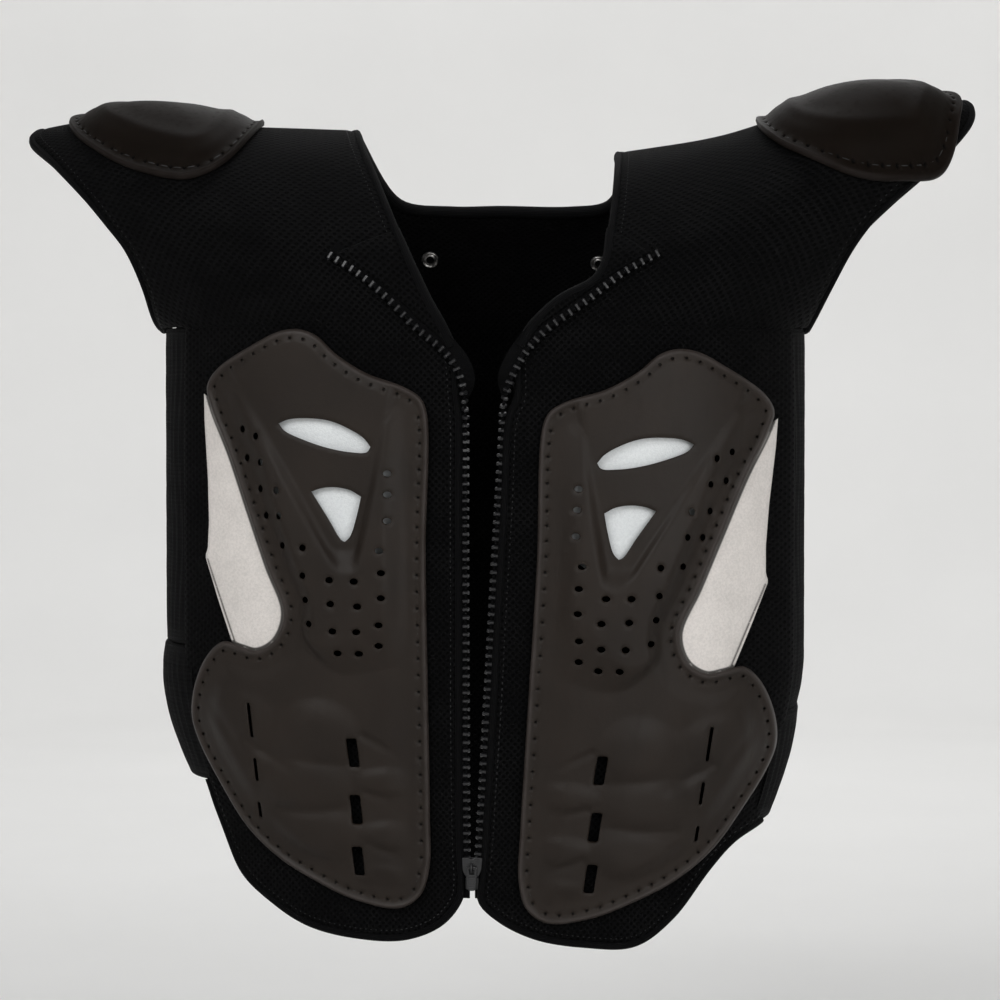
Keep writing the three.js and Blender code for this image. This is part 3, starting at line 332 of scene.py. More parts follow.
# %% [markdown]
# ## Meshes from flat patterns
# Armour and cloth both start as a flat outline, so one helper fills any outline with small, even triangles.
# A grid would need bends and cuts at every hole. A Delaunay mesh follows the outline and the holes by
# itself, and its points can crowd where the surface has fine relief.

# %% Curves and distances in the plane


def smooth_curve(points, step, closed=True):
    """Evenly spaced points on a smooth curve through a few stations."""
    points = np.asarray(points, float)
    if closed:
        stations = np.vstack([points[-1:], points, points[:2]])
    else:
        stations = np.vstack([2 * points[0] - points[1], points, 2 * points[-1] - points[-2]])
    t = np.linspace(0, 1, 12, endpoint=False)[:, None]
    dense = []
    for a, b, c, d in zip(stations[:-3], stations[1:-2], stations[2:-1], stations[3:]):
        before, here, after = (max(np.linalg.norm(v) ** 0.5, 1e-9) for v in (b - a, c - b, d - c))
        leave = here * ((b - a) / before - (c - a) / (before + here) + (c - b) / here)
        arrive = here * ((c - b) / here - (d - b) / (here + after) + (d - c) / after)
        bow = 3 * (c - b) - 2 * leave - arrive
        dense.append(b + leave * t + bow * t**2 + (leave + arrive - 2 * (c - b)) * t**3)
    dense.append(points[:1] if closed else points[-1:])
    return even_steps(np.vstack(dense), step, closed)


def reach_along(path):
    """How far along a path each of its points lies."""
    return np.concatenate([[0], np.cumsum(np.linalg.norm(np.diff(path, axis=0), axis=1))])


def at_reach(path, reach, at):
    """The places on a path at some distances along it."""
    return np.stack([np.interp(at, reach, column) for column in path.T], axis=-1)


def length_of(path):
    return float(np.linalg.norm(np.diff(path, axis=0), axis=1).sum())


def even_steps(path, step, closed):
    """The same path with its points one step apart."""
    reach = reach_along(path)
    count = max(int(round(reach[-1] / step)), 3)
    return at_reach(path, reach, np.linspace(0, reach[-1], count + 1)[: count if closed else None])


def joined(runs, step):
    """One closed outline from smooth runs that meet at corners."""
    return np.vstack([smooth_curve(run, step, closed=False)[:-1] for run in runs])


def distance_to(points, loop):
    """How far each point lies from a closed loop."""
    run = np.roll(loop, -1, axis=0) - loop
    nearest = []
    for some in np.array_split(points, max(len(points) // 2000, 1)):
        away = some[:, None] - loop
        t = np.clip((away * run).sum(-1) / np.maximum((run * run).sum(-1), 1e-18), 0, 1)
        nearest.append(np.linalg.norm(away - run * t[..., None], axis=-1).min(1))
    return np.concatenate(nearest)


def inside(points, loop):
    """Which points lie inside a closed loop."""
    ends = np.roll(loop, -1, axis=0)
    run = ends - loop
    slope = run[:, 0] / np.where(run[:, 1] == 0, 1e-12, run[:, 1])
    hits = []
    for some in np.array_split(points, max(len(points) // 4000, 1)):
        x, y = some[:, :1], some[:, 1:]
        crosses = (loop[:, 1] > y) != (ends[:, 1] > y)
        hits.append((crosses & (x < slope * (y - loop[:, 1]) + loop[:, 0])).sum(1) % 2 == 1)
    return np.concatenate(hits)


def beside(loop, away):
    """The loop moved sideways, positive inwards on a loop that runs anticlockwise."""
    run = np.roll(loop, -1, axis=0) - np.roll(loop, 1, axis=0)
    run /= np.maximum(np.linalg.norm(run, axis=1, keepdims=True), 1e-12)
    return loop + np.stack([-run[:, 1], run[:, 0]], axis=-1) * away


def anticlockwise(loop):
    x, y = loop.T
    return loop if (x * np.roll(y, -1) - np.roll(x, -1) * y).sum() > 0 else loop[::-1]


def circle(centre, radius, sides, start=0.0):
    turn = start + np.arange(sides) * 2 * np.pi / sides
    return np.asarray(centre) + radius * np.stack([np.cos(turn), np.sin(turn)], axis=-1)


print("points round a 10 mm circle:", len(circle((0, 0), 5 * mm, 24)))

# %% Fill an outline with triangles

# How near one another a pattern's points may lie, in shares of its step: in its middle and along its lines
middle_spacing = 0.62
line_spacing = 0.35
line_crowding = 0.55


class Pattern:
    """A flat pattern: an outline less its holes, filled with triangles. Its points also follow rims inside
    the outline, bevels round the holes, pits with rings round them, and any other lines."""

    def __init__(self, outline, step, rims=(), holes=(), bevels=(), pits=(), pit_rings=(), lines=()):
        outline = anticlockwise(outline)
        holes = [anticlockwise(hole) for hole in holes]
        loops = [outline, *holes]
        rims = [beside(outline, rim) for rim in rims]
        bevels = [beside(hole, -bevel) for hole in holes for bevel in bevels]
        rings = [circle(pit, radius, 8, radius) for pit in pits for radius in pit_rings]
        self.outline, self.holes, self.pits = outline, holes, pits
        kept = [(group, 0.0) for group in loops]
        seats = [np.array(pits)] if len(pits) else []
        kept += [(group, line_spacing) for group in (*seats, *rings, *bevels, *rims, *lines)]
        kept.append((self.hexagons(step), middle_spacing))
        self.points = self.thinned(kept, step)
        edges = self.loop_edges(loops)
        found = delaunay_2d_cdt([Vector(p) for p in self.points.tolist()], edges, [], 0, 1e-7, False)
        self.points = np.array([tuple(p) for p in found[0]])
        triangles = np.array(found[2])
        middles = self.points[triangles].mean(1)
        keep = inside(middles, outline)
        for hole in holes:
            keep &= ~inside(middles, hole)
        self.triangles = triangles[keep]
        self.from_edge = distance_to(self.points, outline)

    def hexagons(self, step):
        low, high = self.outline.min(0), self.outline.max(0)
        columns = np.arange(low[0], high[0], step)
        rows = np.arange(low[1], high[1], step * math.sqrt(3) / 2)
        x, y = np.meshgrid(columns, rows)
        x = x + (np.arange(len(rows)) % 2)[:, None] * step / 2
        return np.stack([x.ravel(), y.ravel()], axis=-1)

    def thinned(self, groups, step):
        """All points in turn, without those that crowd an earlier one or leave the pattern."""
        cell = step * middle_spacing
        around = [(i, j) for i in (-1, 0, 1) for j in (-1, 0, 1)]
        taken, kept = {}, []
        for group, share in groups:
            if share:
                clear = distance_to(group, self.outline) > share * step / 2
                group = group[inside(group, self.outline) & clear]
                for hole in self.holes:
                    group = group[~inside(group, hole)]
            reach = (share * step * (1 if share == middle_spacing else line_crowding)) ** 2
            for x, y in group.tolist():
                key = (int(x // cell), int(y // cell))
                near = [p for i, j in around for p in taken.get((key[0] + i, key[1] + j), ())]
                if share and any((x - p[0]) ** 2 + (y - p[1]) ** 2 < reach for p in near):
                    continue
                taken.setdefault(key, []).append((x, y))
                kept.append((x, y))
        return np.array(kept)

    @staticmethod
    def loop_edges(loops):
        edges, start = [], 0
        for loop in loops:
            size = len(loop)
            edges += [(start + i, start + (i + 1) % size) for i in range(size)]
            start += size
        return edges


print("triangles in a 20 mm disc:", len(Pattern(circle((0, 0), 10 * mm, 40), 2 * mm).triangles))

# %% Turn points and faces into a piece


def add_piece(name, points, faces, finish, flat=None, marks=None, sharp=50):
    """A mesh piece on the vest, shaded smooth apart from its sharp edges."""
    mesh = bpy.data.meshes.new(name)
    mesh.from_pydata(np.asarray(points).tolist(), [], faces)
    mesh.materials.append(finish)
    if flat is not None:
        corners = np.empty(len(mesh.loops), int)
        mesh.loops.foreach_get("vertex_index", corners)
        layer = mesh.uv_layers.new(name="cut")
        layer.data.foreach_set("uv", np.asarray(flat)[corners].ravel())
    for mark, values in (marks or {}).items():
        attribute = mesh.attributes.new(mark, "FLOAT", "POINT")
        attribute.data.foreach_set("value", np.asarray(values, float))
    mesh.shade_smooth()
    mesh.set_sharp_from_angle(angle=math.radians(sharp))
    mesh.validate()
    piece = bpy.data.objects.new(name, mesh)
    bpy.context.collection.objects.link(piece)
    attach(piece, "vest")
    return piece


def two_sheets(outer, inner, triangles):
    """A closed body between an outer and an inner sheet of the same triangles."""
    count = len(outer)
    edges = np.vstack([triangles[:, [0, 1]], triangles[:, [1, 2]], triangles[:, [2, 0]]])
    keys = edges.min(1) * count + edges.max(1)
    _, where, times = np.unique(keys, return_index=True, return_counts=True)
    rim = edges[where[times == 1]]
    walls = np.column_stack([rim[:, 1], rim[:, 0], rim[:, 0] + count, rim[:, 1] + count])
    faces = triangles.tolist() + (triangles[:, ::-1] + count).tolist() + walls.tolist()
    points = np.vstack([outer, inner])
    return points, facing_out(points, faces)


def facing_out(points, faces):
    """The same faces, turned round if they enclose a negative volume."""
    corners = points[np.array([face[:3] for face in faces])]
    fans = [face for face in faces if len(face) == 4]
    volume = (corners[:, 0] * np.cross(corners[:, 1], corners[:, 2])).sum()
    if fans:
        rest = points[np.array([[face[0], face[2], face[3]] for face in fans])]
        volume += (rest[:, 0] * np.cross(rest[:, 1], rest[:, 2])).sum()
    return faces if volume > 0 else [face[::-1] for face in faces]


def sheet_piece(name, outer, inner, pattern, finish, marks=None, sharp=50):
    """A piece between two sheets of one pattern, whose marks lie on both."""
    points, faces = two_sheets(outer, inner, pattern.triangles)
    marks = {mark: np.tile(values, 2) for mark, values in (marks or {}).items()}
    return add_piece(name, points, faces, finish, np.vstack([pattern.points] * 2), marks, sharp)


def bars(runs, section, closed=False):
    """Bars of one section. A run is its origins, side directions and out directions, one for each station.
    Gives points, faces and the flat coordinates of each point: round the section, and along the bar."""
    section = np.asarray(section, float)
    size = len(section)
    around = reach_along(section)
    points, faces, flats, start = [], [], [], 0
    for origins, sides, outs in runs:
        count = len(origins)
        ring = origins[:, None] + sides[:, None] * section[:, :1] + outs[:, None] * section[:, 1:]
        points.append(ring.reshape(-1, 3))
        reach = reach_along(origins)
        flats.append(np.stack(np.broadcast_arrays(around[None], reach[:, None]), axis=-1).reshape(-1, 2))
        for k in range(count if closed else count - 1):
            after = (k + 1) % count
            for i in range(size):
                a, b = start + k * size + i, start + k * size + (i + 1) % size
                c, d = start + after * size + (i + 1) % size, start + after * size + i
                faces.append((a, b, c, d))
        if not closed:
            faces.append(tuple(start + i for i in reversed(range(size))))
            faces.append(tuple(start + (count - 1) * size + i for i in range(size)))
        start += count * size
    return np.vstack(points), faces, np.vstack(flats)


def oval(half_side, half_out, sides):
    turn = np.arange(sides) * 2 * np.pi / sides
    return np.stack([half_side * np.cos(turn), half_out * np.sin(turn)], axis=-1)


def unit(vectors):
    return vectors / np.maximum(np.linalg.norm(vectors, axis=-1, keepdims=True), 1e-12)


def stations(points, normals):
    """Side and out directions along a path on a surface."""
    run = unit(np.gradient(points, axis=0))
    side = unit(np.cross(run, normals))
    return points, side, unit(np.cross(side, run))


print("a thread's section has", len(oval(0.42 * mm, 0.34 * mm, 6)), "corners")

# %% [markdown]
# ## Writing materials as formulas
# A finish is a tree of nodes. Wiring nodes by hand in code hides what they do, so one small class wraps a
# node's output and lets Python's own operators add the Math nodes.

# %% The wire and the finish


class Wire:
    """A node's output. Sums and products of wires add Math nodes."""

    def __init__(self, finish, socket):
        self.finish, self.socket = finish, socket

    def maths(self, operation, *values):
        return self.finish.node("ShaderNodeMath", {"operation": operation}, dict(enumerate(values)))

    def __add__(self, other):
        return self.maths("ADD", self, other)

    __radd__ = __add__

    def __sub__(self, other):
        return self.maths("SUBTRACT", self, other)

    def __rsub__(self, other):
        return self.maths("SUBTRACT", other, self)

    def __mul__(self, other):
        return self.maths("MULTIPLY", self, other)

    __rmul__ = __mul__

    def step(self, low, high):
        """0 below one value and 1 above the other, with a soft step between."""
        return self.finish.node("ShaderNodeMapRange", {"interpolation_type": "SMOOTHSTEP"},
                                {"Value": self, "From Min": low, "From Max": high})


class Finish:
    """A material that is being made."""

    def __init__(self, name, **constants):
        self.material = bpy.data.materials.new(name)
        self.material.use_nodes = True
        self.nodes = self.material.node_tree.nodes
        self.shader = next(n for n in self.nodes if n.type == "BSDF_PRINCIPLED")
        for socket, value in constants.items():
            self.shader.inputs[socket.replace("_", " ")].default_value = value

    def node(self, kind, settings=None, inputs=None, output=0):
        node = self.nodes.new(kind)
        for key, value in (settings or {}).items():
            setattr(node, key, value)
        for key, value in (inputs or {}).items():
            self.feed(node.inputs[key], value)
        return Wire(self, node.outputs[output])

    def feed(self, socket, value):
        if isinstance(value, Wire):
            self.material.node_tree.links.new(value.socket, socket)
        else:
            socket.default_value = value

    def colour(self, wire):
        self.feed(self.shader.inputs["Base Color"], wire)

    def roughness(self, wire):
        self.feed(self.shader.inputs["Roughness"], wire)

    def bumps(self, *layers):
        """Bump nodes, one on the other. A layer is a height wire and its depth in metres."""
        normal = None
        for height, depth in layers:
            inputs = {"Height": height, "Distance": depth, "Strength": 1.0}
            if normal:
                inputs["Normal"] = normal
            normal = self.node("ShaderNodeBump", {}, inputs)
        self.feed(self.shader.inputs["Normal"], normal)

    def blend(self, share, low, high):
        """A colour between two colours."""
        return self.node("ShaderNodeMix", {"data_type": "RGBA"}, {0: share, 6: low, 7: high}, 2)

    def place(self):
        return self.node("ShaderNodeTexCoord", output="Object")

    def cut(self, scale, turn=0.0):
        """The flat pattern's own coordinates, in metres times a scale."""
        sheet = self.node("ShaderNodeUVMap", {"uv_map": "cut"})
        return self.node("ShaderNodeMapping", {}, {
            "Vector": sheet, "Rotation": (0, 0, turn), "Scale": (scale, scale, scale)})

    def noise(self, where, scale, detail=2.0, roughness=0.5):
        return self.node("ShaderNodeTexNoise", {}, {
            "Vector": where, "Scale": scale, "Detail": detail, "Roughness": roughness})

    def mark(self, name):
        return self.node("ShaderNodeAttribute", {"attribute_name": name}, output="Fac")


def rgb(red, green, blue, share=1.0):
    """A colour, or a share of its brightness."""
    return (red * share, green * share, blue * share, 1.0)


print("a finish is ready to be written")

# %% [markdown]
# ## Finishes
# The plates are satin plastic with a fine moulded grain, paler along the rolled edge: partly wear, partly a
# painted highlight. The mesh cloth is a
# knitted spacer fabric: its round holes are a regular Voronoi pattern. Elastic has raised ribs. The silver
# cloth is covered with tiny glass beads, which read as a pebbly grain.

# %% Moulded plastic


def plastic(name, tone, shine):
    """Satin plastic. Its tone is a share of the plates' own."""
    finish = Finish(name, Specular_IOR_Level=shine)
    place = finish.place()
    cloudy = finish.noise(place, 22, 3)
    grain = finish.noise(place, 1500, 2, 0.6)
    scuffs = finish.node("ShaderNodeTexNoise", {}, {
        "Vector": finish.node("ShaderNodeMapping", {}, {"Vector": place, "Scale": (260, 260, 40)}),
        "Scale": 1.0, "Detail": 3.0})
    # Paler along the rolled edge: partly wear, partly a painted highlight.
    rub_and_highlight = finish.mark("rub_and_highlight") * (0.55 + 0.45 * finish.noise(place, 90, 3).step(0.3, 0.6))
    body = finish.blend(cloudy.step(0.3, 0.7), rgb(0.0132, 0.0092, 0.0066, tone),
                        rgb(0.0175, 0.0122, 0.0088, tone))
    worn_and_highlit = finish.blend(rub_and_highlight, body, rgb(0.036, 0.029, 0.026, tone))
    # Painted shade: the needle holes are painted nearly black.
    finish.colour(finish.blend(finish.mark("pit"), worn_and_highlit, rgb(0.001, 0.001, 0.001)))
    finish.roughness(0.43 + 0.12 * cloudy + 0.08 * scuffs.step(0.5, 0.75) - 0.06 * finish.mark("rub_and_highlight"))
    finish.bumps((grain, 0.00006), (finish.noise(place, 420, 2), 0.00005))
    return finish.material


armour_plastic = plastic("moulded plastic", 1.0, 0.21)
# The caps are the plates' plastic painted darker: painted shade for the shoulder tops, which face away from
# the light.
shaded_cap_plastic = plastic("cap plastic", 0.4, 0.03)
print("finishes:", armour_plastic.name, shaded_cap_plastic.name)

# %% Mesh cloth


def spacer_mesh():
    finish = Finish("spacer mesh", Specular_IOR_Level=0.06)
    cell = 1 / (2.9 * mm)
    where = finish.cut(cell, math.radians(45))
    eyes = finish.node("ShaderNodeTexVoronoi", {"voronoi_dimensions": "2D"}, {
        "Vector": where, "Scale": 1.0, "Randomness": 0.0}, "Distance")
    knit = finish.node("ShaderNodeTexWave", {"bands_direction": "Y"}, {
        "Vector": finish.cut(1 / mm), "Scale": 0.55, "Distortion": 1.2, "Detail": 1.0}, "Fac")
    hole = 1 - eyes.step(0.2, 0.36)
    cloudy = finish.noise(finish.place(), 35, 3)
    yarn = finish.blend(cloudy.step(0.35, 0.65), rgb(0.0020, 0.0020, 0.0022), rgb(0.0036, 0.0036, 0.0038))
    # Painted shade: the holes are darker than the yarn round them.
    finish.colour(finish.blend(hole, yarn, rgb(0.0004, 0.0004, 0.0004)))
    finish.roughness(0.78 + 0.14 * cloudy)
    finish.bumps((eyes.step(0.16, 0.42), 0.0009), (knit, 0.00012))
    return finish.material


mesh_cloth = spacer_mesh()
print("finish:", mesh_cloth.name)

# %% Elastic, binding and tape

# A wave texture of this scale has about one band a unit
one_band = 0.3183


def ribbed(name, pitch, along_length, depth, pale, dark):
    """Ribbed cloth: rounded ribs with a fine weave over them."""
    finish = Finish(name, Specular_IOR_Level=0.06)
    direction, other = ("Y", "X") if along_length else ("X", "Y")
    ribs = finish.node("ShaderNodeTexWave", {"bands_direction": direction}, {
        "Vector": finish.cut(1 / pitch), "Scale": one_band, "Distortion": 0.15}, "Fac")
    weave = finish.node("ShaderNodeTexWave", {"bands_direction": other}, {
        "Vector": finish.cut(1 / (0.55 * mm)), "Scale": one_band, "Distortion": 0.4}, "Fac")
    cloudy = finish.noise(finish.place(), 60, 3)
    # Painted shade: the grooves between the ribs are darker than their crests.
    tone = finish.blend(ribs, dark, pale)
    finish.colour(finish.blend(0.35 * cloudy, tone, rgb(0.004, 0.004, 0.0043)))
    finish.roughness(0.66 + 0.18 * cloudy)
    finish.bumps((ribs, depth), (weave, 0.00012))
    return finish.material


elastic_tones = rgb(0.0040, 0.0040, 0.0043), rgb(0.0015, 0.0015, 0.0016)
tape_tones = rgb(0.0036, 0.0036, 0.0039), rgb(0.0022, 0.0022, 0.0024)
elastic = ribbed("ribbed elastic", 2.4 * mm, True, 0.0006, *elastic_tones)
binding = ribbed("binding tape", 1.1 * mm, False, 0.0002, *tape_tones)
woven_tape = ribbed("zip tape", 0.8 * mm, True, 0.00015, *tape_tones)
print("finishes:", elastic.name, binding.name, woven_tape.name)

# %% Silver cloth, teeth, metal and thread


def silver(name, pale, dark):
    finish = Finish(name, Metallic=0.0, Specular_IOR_Level=0.5)
    place = finish.place()
    beads = finish.node("ShaderNodeTexVoronoi", {}, {"Vector": place, "Scale": 1500.0}, "Distance")
    pebbles = finish.noise(place, 700, 3, 0.65)
    cloudy = finish.noise(place, 45, 4, 0.6)
    grain = 0.55 * pebbles.step(0.35, 0.65) + 0.45 * cloudy.step(0.3, 0.7)
    # The needle holes and the line beside the shell are painted dark: painted shade and a painted shadow.
    finish.colour(finish.blend(finish.mark("pit"), finish.blend(grain, dark, pale), rgb(0.05, 0.045, 0.04)))
    finish.roughness(0.42 + 0.2 * pebbles)
    finish.bumps((beads, 0.00012), (pebbles, 0.0001))
    return finish.material


def plain(name, tone, rough, grain_scale, grain_depth, metallic=0.0):
    """A small hard piece: one tone, varied a little, with a fine grain."""
    finish = Finish(name, Metallic=metallic)
    place = finish.place()
    cloudy = finish.noise(place, grain_scale / 6, 3)
    finish.colour(finish.blend(cloudy.step(0.3, 0.7), rgb(*tone[:3], 0.7), tone))
    finish.roughness(rough + 0.2 * cloudy - 0.1)
    finish.bumps((finish.noise(place, grain_scale, 2), grain_depth))
    return finish.material


silver_cloth = silver("silver cloth", rgb(0.76, 0.715, 0.68), rgb(0.60, 0.565, 0.535))
window_silver = silver("window silver", rgb(0.80, 0.825, 0.83), rgb(0.68, 0.705, 0.715))
tooth_plastic = plain("zip teeth", rgb(0.010, 0.010, 0.011), 0.34, 2500, 0.00003)
dark_metal = plain("worn nickel", rgb(0.33, 0.32, 0.31), 0.34, 1800, 0.00003, 1.0)
coated_metal = plain("black coated metal", rgb(0.018, 0.018, 0.019), 0.32, 1800, 0.00002)
thread = plain("sewing thread", rgb(0.014, 0.014, 0.015), 0.7, 4000, 0.00006)
print("finishes:", silver_cloth.name, dark_metal.name, coated_metal.name)

# %% [markdown]
# ## Chest shells
# Each plate is a stiff moulding sewn to the padded front through a flange. Its relief is one height over the
# flat pattern, so the same pattern gives the rolled rim, the needle holes, the V-shaped recess and the belly
# bulges. A sculpted mesh could do this too, but a formula keeps both halves the same.

# %% Places on a shell
shell_centre = (0.434, 0.498)
shell_scale = np.array([shell_width, -shell_height])
on_panel = padding + gap
shell_seat = on_panel + gap
flange_width = 9 * mm
stitch_inset = 5.0 * mm


def flat_place(shares):
    """From shares of a shell to metres in its flat pattern, with up as up."""
    return np.asarray(shares, float)[..., :2] * shell_scale


def shell_front(half, places):
    """Where places in a shell's flat pattern lie in the front view."""
    across = places[..., 0] - shell_centre[0] * shell_width
    up = places[..., 1] + shell_centre[1] * shell_height
    x = half.sign * (half.shell_out + across * math.cos(half.turn) + up * math.sin(half.turn))
    z = -half.shell_down - across * math.sin(half.turn) + up * math.cos(half.turn)
    return x, z


def besides(places, leg):
    """Distance to the straight line between two places, positive on its left."""
    start, end = flat_place(leg)
    run = (end - start) / np.linalg.norm(end - start)
    away = places - start
    return run[0] * away[:, 1] - run[1] * away[:, 0]


print("a shell's pattern is", np.round(np.abs(shell_scale), 3), "m")

# %% A shell's flat pattern
slot_size = (6 * mm, 16.5 * mm)
slit_width = 1.8 * mm
slot_lean = 0.1
moulded_rims = [0.4 * mm, 0.9 * mm, 1.5 * mm, 2.2 * mm, 3 * mm]


def slot_loop(place, width):
    """A slot with rounded ends, leaning a little."""
    middle = flat_place(place)
    half_long = slot_size[1] * place[2] / 2
    corner = min(width * 0.3, 1.2 * mm)
    box = np.array([width / 2 - corner, half_long - corner])
    loop = np.vstack([circle(box * (sx, sy), corner, 16)[q * 4:q * 4 + 5]
                      for q, (sx, sy) in enumerate([(1, 1), (-1, 1), (-1, -1), (1, -1)])])
    loop = even_steps(np.vstack([loop, loop[:1]]), 0.9 * mm, True)
    return middle + loop + loop[:, 1:] * np.array([[slot_lean, 0]])


def perforation(place):
    """An oval hole: wide near the zip, and upright near the side."""
    turned = ease(.3, .66, place[0])
    return flat_place(place) + circle((0, 0), mm, 18) * (mix(2.35, 1.45, turned), mix(1.75, 2.0, turned))


def window_loop(edges):
    """A window whose corners stay sharp."""
    return joined([flat_place(edge) for edge in edges], 1.3 * mm)


def stitch_places(outline, inset, pitch):
    """Needle holes along an outline, as far apart as pitch says at each place."""
    path = beside(anticlockwise(outline), inset)
    reach = reach_along(path)
    places, at = [], 0.0
    while at < reach[-1] - pitch(path[0]) * 0.6:
        here = at_reach(path, reach, at)
        places.append(here)
        at += pitch(here)
    return np.array(places)


def shell_pitch(place):
    """Stitches grow longer down the straight inner side."""
    lower = ease(0.15, 0.45, -place[1] / shell_height)
    return mix(7.2, 9.4, lower) * mm if place[0] < 0.08 * shell_width else 7.8 * mm


def shell_pattern():
    outline = smooth_curve(flat_place(shell_outline), 1.5 * mm)
    holes = [perforation(hole) for hole in perforations]
    holes += [window_loop(edges) for edges in windows]
    holes += [slot_loop(slot, slot_size[0]) for slot in slots]
    holes += [slot_loop(slit, slit_width) for slit in slits]
    pits = stitch_places(outline, stitch_inset, shell_pitch)
    return Pattern(outline, 1.9 * mm, [*moulded_rims, 3.9 * mm], holes, [0.35 * mm, 0.9 * mm], pits,
                   [0.4 * mm, 0.7 * mm, 1.1 * mm])


shell_cut = shell_pattern()
print("a shell's sheet has", len(shell_cut.triangles), "triangles and", len(shell_cut.pits), "needle holes")

# %% A shell's relief
chest_relief = 7.5 * mm
recess_relief = 2.4 * mm
recess_slope = (-2.6 * mm, 3.4 * mm)
inner_fade = (.12, .5)
plateau_height = 1.6 * mm
pit_radius = 1.0 * mm

# Belly humps: out, down, half width, half height in shares, and how high each stands in mm
humps = [
    (.45, .7, .17, .062, 3.4), (.5, .79, .2, .055, 3.6), (.46, .872, .2, .05, 3.0),
    (.8, .68, .16, .075, 2.2), (.79, .765, .15, .05, 1.6), (.15, .78, .17, .026, 2.2),
    (.15, .873, .17, .026, 2.0), (.15, .95, .18, .028, 1.4)]

# Creases: start and end in shares, half width and depth in mm
creases = [((.27, .7), (.12, .735), 1.7, 1.5), ((.26, .798), (.17, .81), 1.6, 1.2),
           ((.25, .886), (.1, .915), 1.8, 1.4), ((.74, .715), (.56, .762), 3.2, 1.8),
           ((.6, .83), (.44, .835), 3.0, 1.3), ((.9, .66), (.75, .745), 3.6, 1.3),
           ((.9, .6), (.56, .66), 4.5, 0.8)]


def ridge(places, start, end, half_width):
    """1 along a straight line between two places, fading to 0 beside it and towards its end."""
    start, end = flat_place(start), flat_place(end)
    run = end - start
    t = ((places - start) @ run) / (run @ run)
    away = np.linalg.norm(places - start - np.clip(t, 0, 1)[:, None] * run, axis=1)
    return np.exp(-((away / half_width) ** 2)) * mix(1, 0.25, np.clip(t, 0, 1))


def shell_relief(pattern):
    """How far the moulding stands above its flange, in metres."""
    places = pattern.points
    out, down = (places / shell_scale).T
    inner_side = ease(*inner_fade[::-1], out)
    rise = flange_width + mix(10, 17, inner_side) * mm
    inside_flange = ease(flange_width, rise, pattern.from_edge)
    below_lip = (down - along(lip, out)) * shell_height
    chest = 1 - ease(mix(-9, -46, inner_side) * mm, mix(0, 14, inner_side) * mm, below_lip)
    swell = mix(0.35, 1, ease(0.08, 0.42, down))
    recess = np.minimum(-besides(places, recess_outer_leg), besides(places, recess_inner_leg))
    sunk = ease(*recess_slope, recess) * ease(*recess_end, down)
    sunk = sunk * ease(0, flange_width / 3, pattern.from_edge)
    bulge = mix(chest_relief * swell, recess_relief, sunk) * chest
    belly = np.zeros(len(places))
    for middle, level, half_wide, half_high, height in humps:
        apart = ((out - middle) / half_wide) ** 2 + ((down - level) / half_high) ** 2
        belly = np.maximum(belly, height * mm * ease(1.25, 0, apart))
    fold = sum(ridge(places, start, end, wide * mm) * deep * mm for start, end, wide, deep in creases)
    plateau = plateau_height * (1 - chest)
    floor = sunk * chest * recess_relief * ease(0, flange_width * 2 / 3, pattern.from_edge)
    return np.maximum(inside_flange * (np.maximum(bulge, belly + plateau) - fold), floor)


def rim_relief(from_edge):
    """A rolled edge and the shallow channel that the stitches lie in."""
    roll = 0.9 * mm * np.exp(-(((from_edge - 1.5 * mm) / (1.15 * mm)) ** 2))
    channel = 0.45 * mm * np.exp(-(((from_edge - stitch_inset) / (1.1 * mm)) ** 2))
    return roll - channel - 0.9 * mm * ease(0.9 * mm, 0, from_edge)


def hole_drop(pattern, depth, reach):
    """How far the surface dips towards the edge of its holes."""
    drop = np.zeros(len(pattern.points))
    for hole in pattern.holes:
        near = np.abs(pattern.points - hole.mean(0)).max(1) < np.ptp(hole, axis=0).max() / 2 + 2 * reach
        away = distance_to(pattern.points[near], hole)
        drop[near] = np.maximum(drop[near], depth * ease(reach, 0, away))
    return drop


def pit_drop(pattern, depth, radius):
    """How far the surface dips at each needle hole."""
    away = np.full(len(pattern.points), np.inf)
    for pit in pattern.pits:
        away = np.minimum(away, np.linalg.norm(pattern.points - pit, axis=1))
    return depth * ease(radius, radius * 0.35, away)


base_relief = shell_relief(shell_cut)
fine_relief = rim_relief(shell_cut.from_edge)
fine_relief -= hole_drop(shell_cut, 0.5 * mm, 0.9 * mm) + pit_drop(shell_cut, 1.2 * mm, pit_radius)
# Painted shade for the needle holes.
pit_shade = pit_drop(shell_cut, 1.0, pit_radius)
print("a shell's relief is", round(float(base_relief.max() / mm), 1), "mm")

# %% Both shells and their stitches
thread_radius = 0.42 * mm
stitch_sunk = 0.95 * mm


def stitch_run(starts, ends, normals, sag):
    """A thread that rises from one needle hole and dives into the next."""
    t = np.linspace(0, 1, 6)[:, None]
    path = starts + (ends - starts) * t
    lift = sag * np.sin(np.pi * t) - 0.7 * mm * (1 - np.sin(np.pi * t)) ** 3
    return stations(path + normals * lift, np.repeat(normals[None], 6, axis=0))


def stitches(name, seats, normals):
    """Threads all round, from each needle hole to the next."""
    runs = []
    for seat, after, normal, normal_after in zip(seats, np.roll(seats, -1, axis=0), normals,
                                                 np.roll(normals, -1, axis=0)):
        start, end = mix(seat, after, 0.1), mix(seat, after, 0.9)
        runs.append(stitch_run(start, end, unit(normal + normal_after), 0.35 * mm))
    points, faces, flat = bars(runs, oval(thread_radius, thread_radius * 0.8, 6))
    return add_piece(name, points, faces, thread, flat)


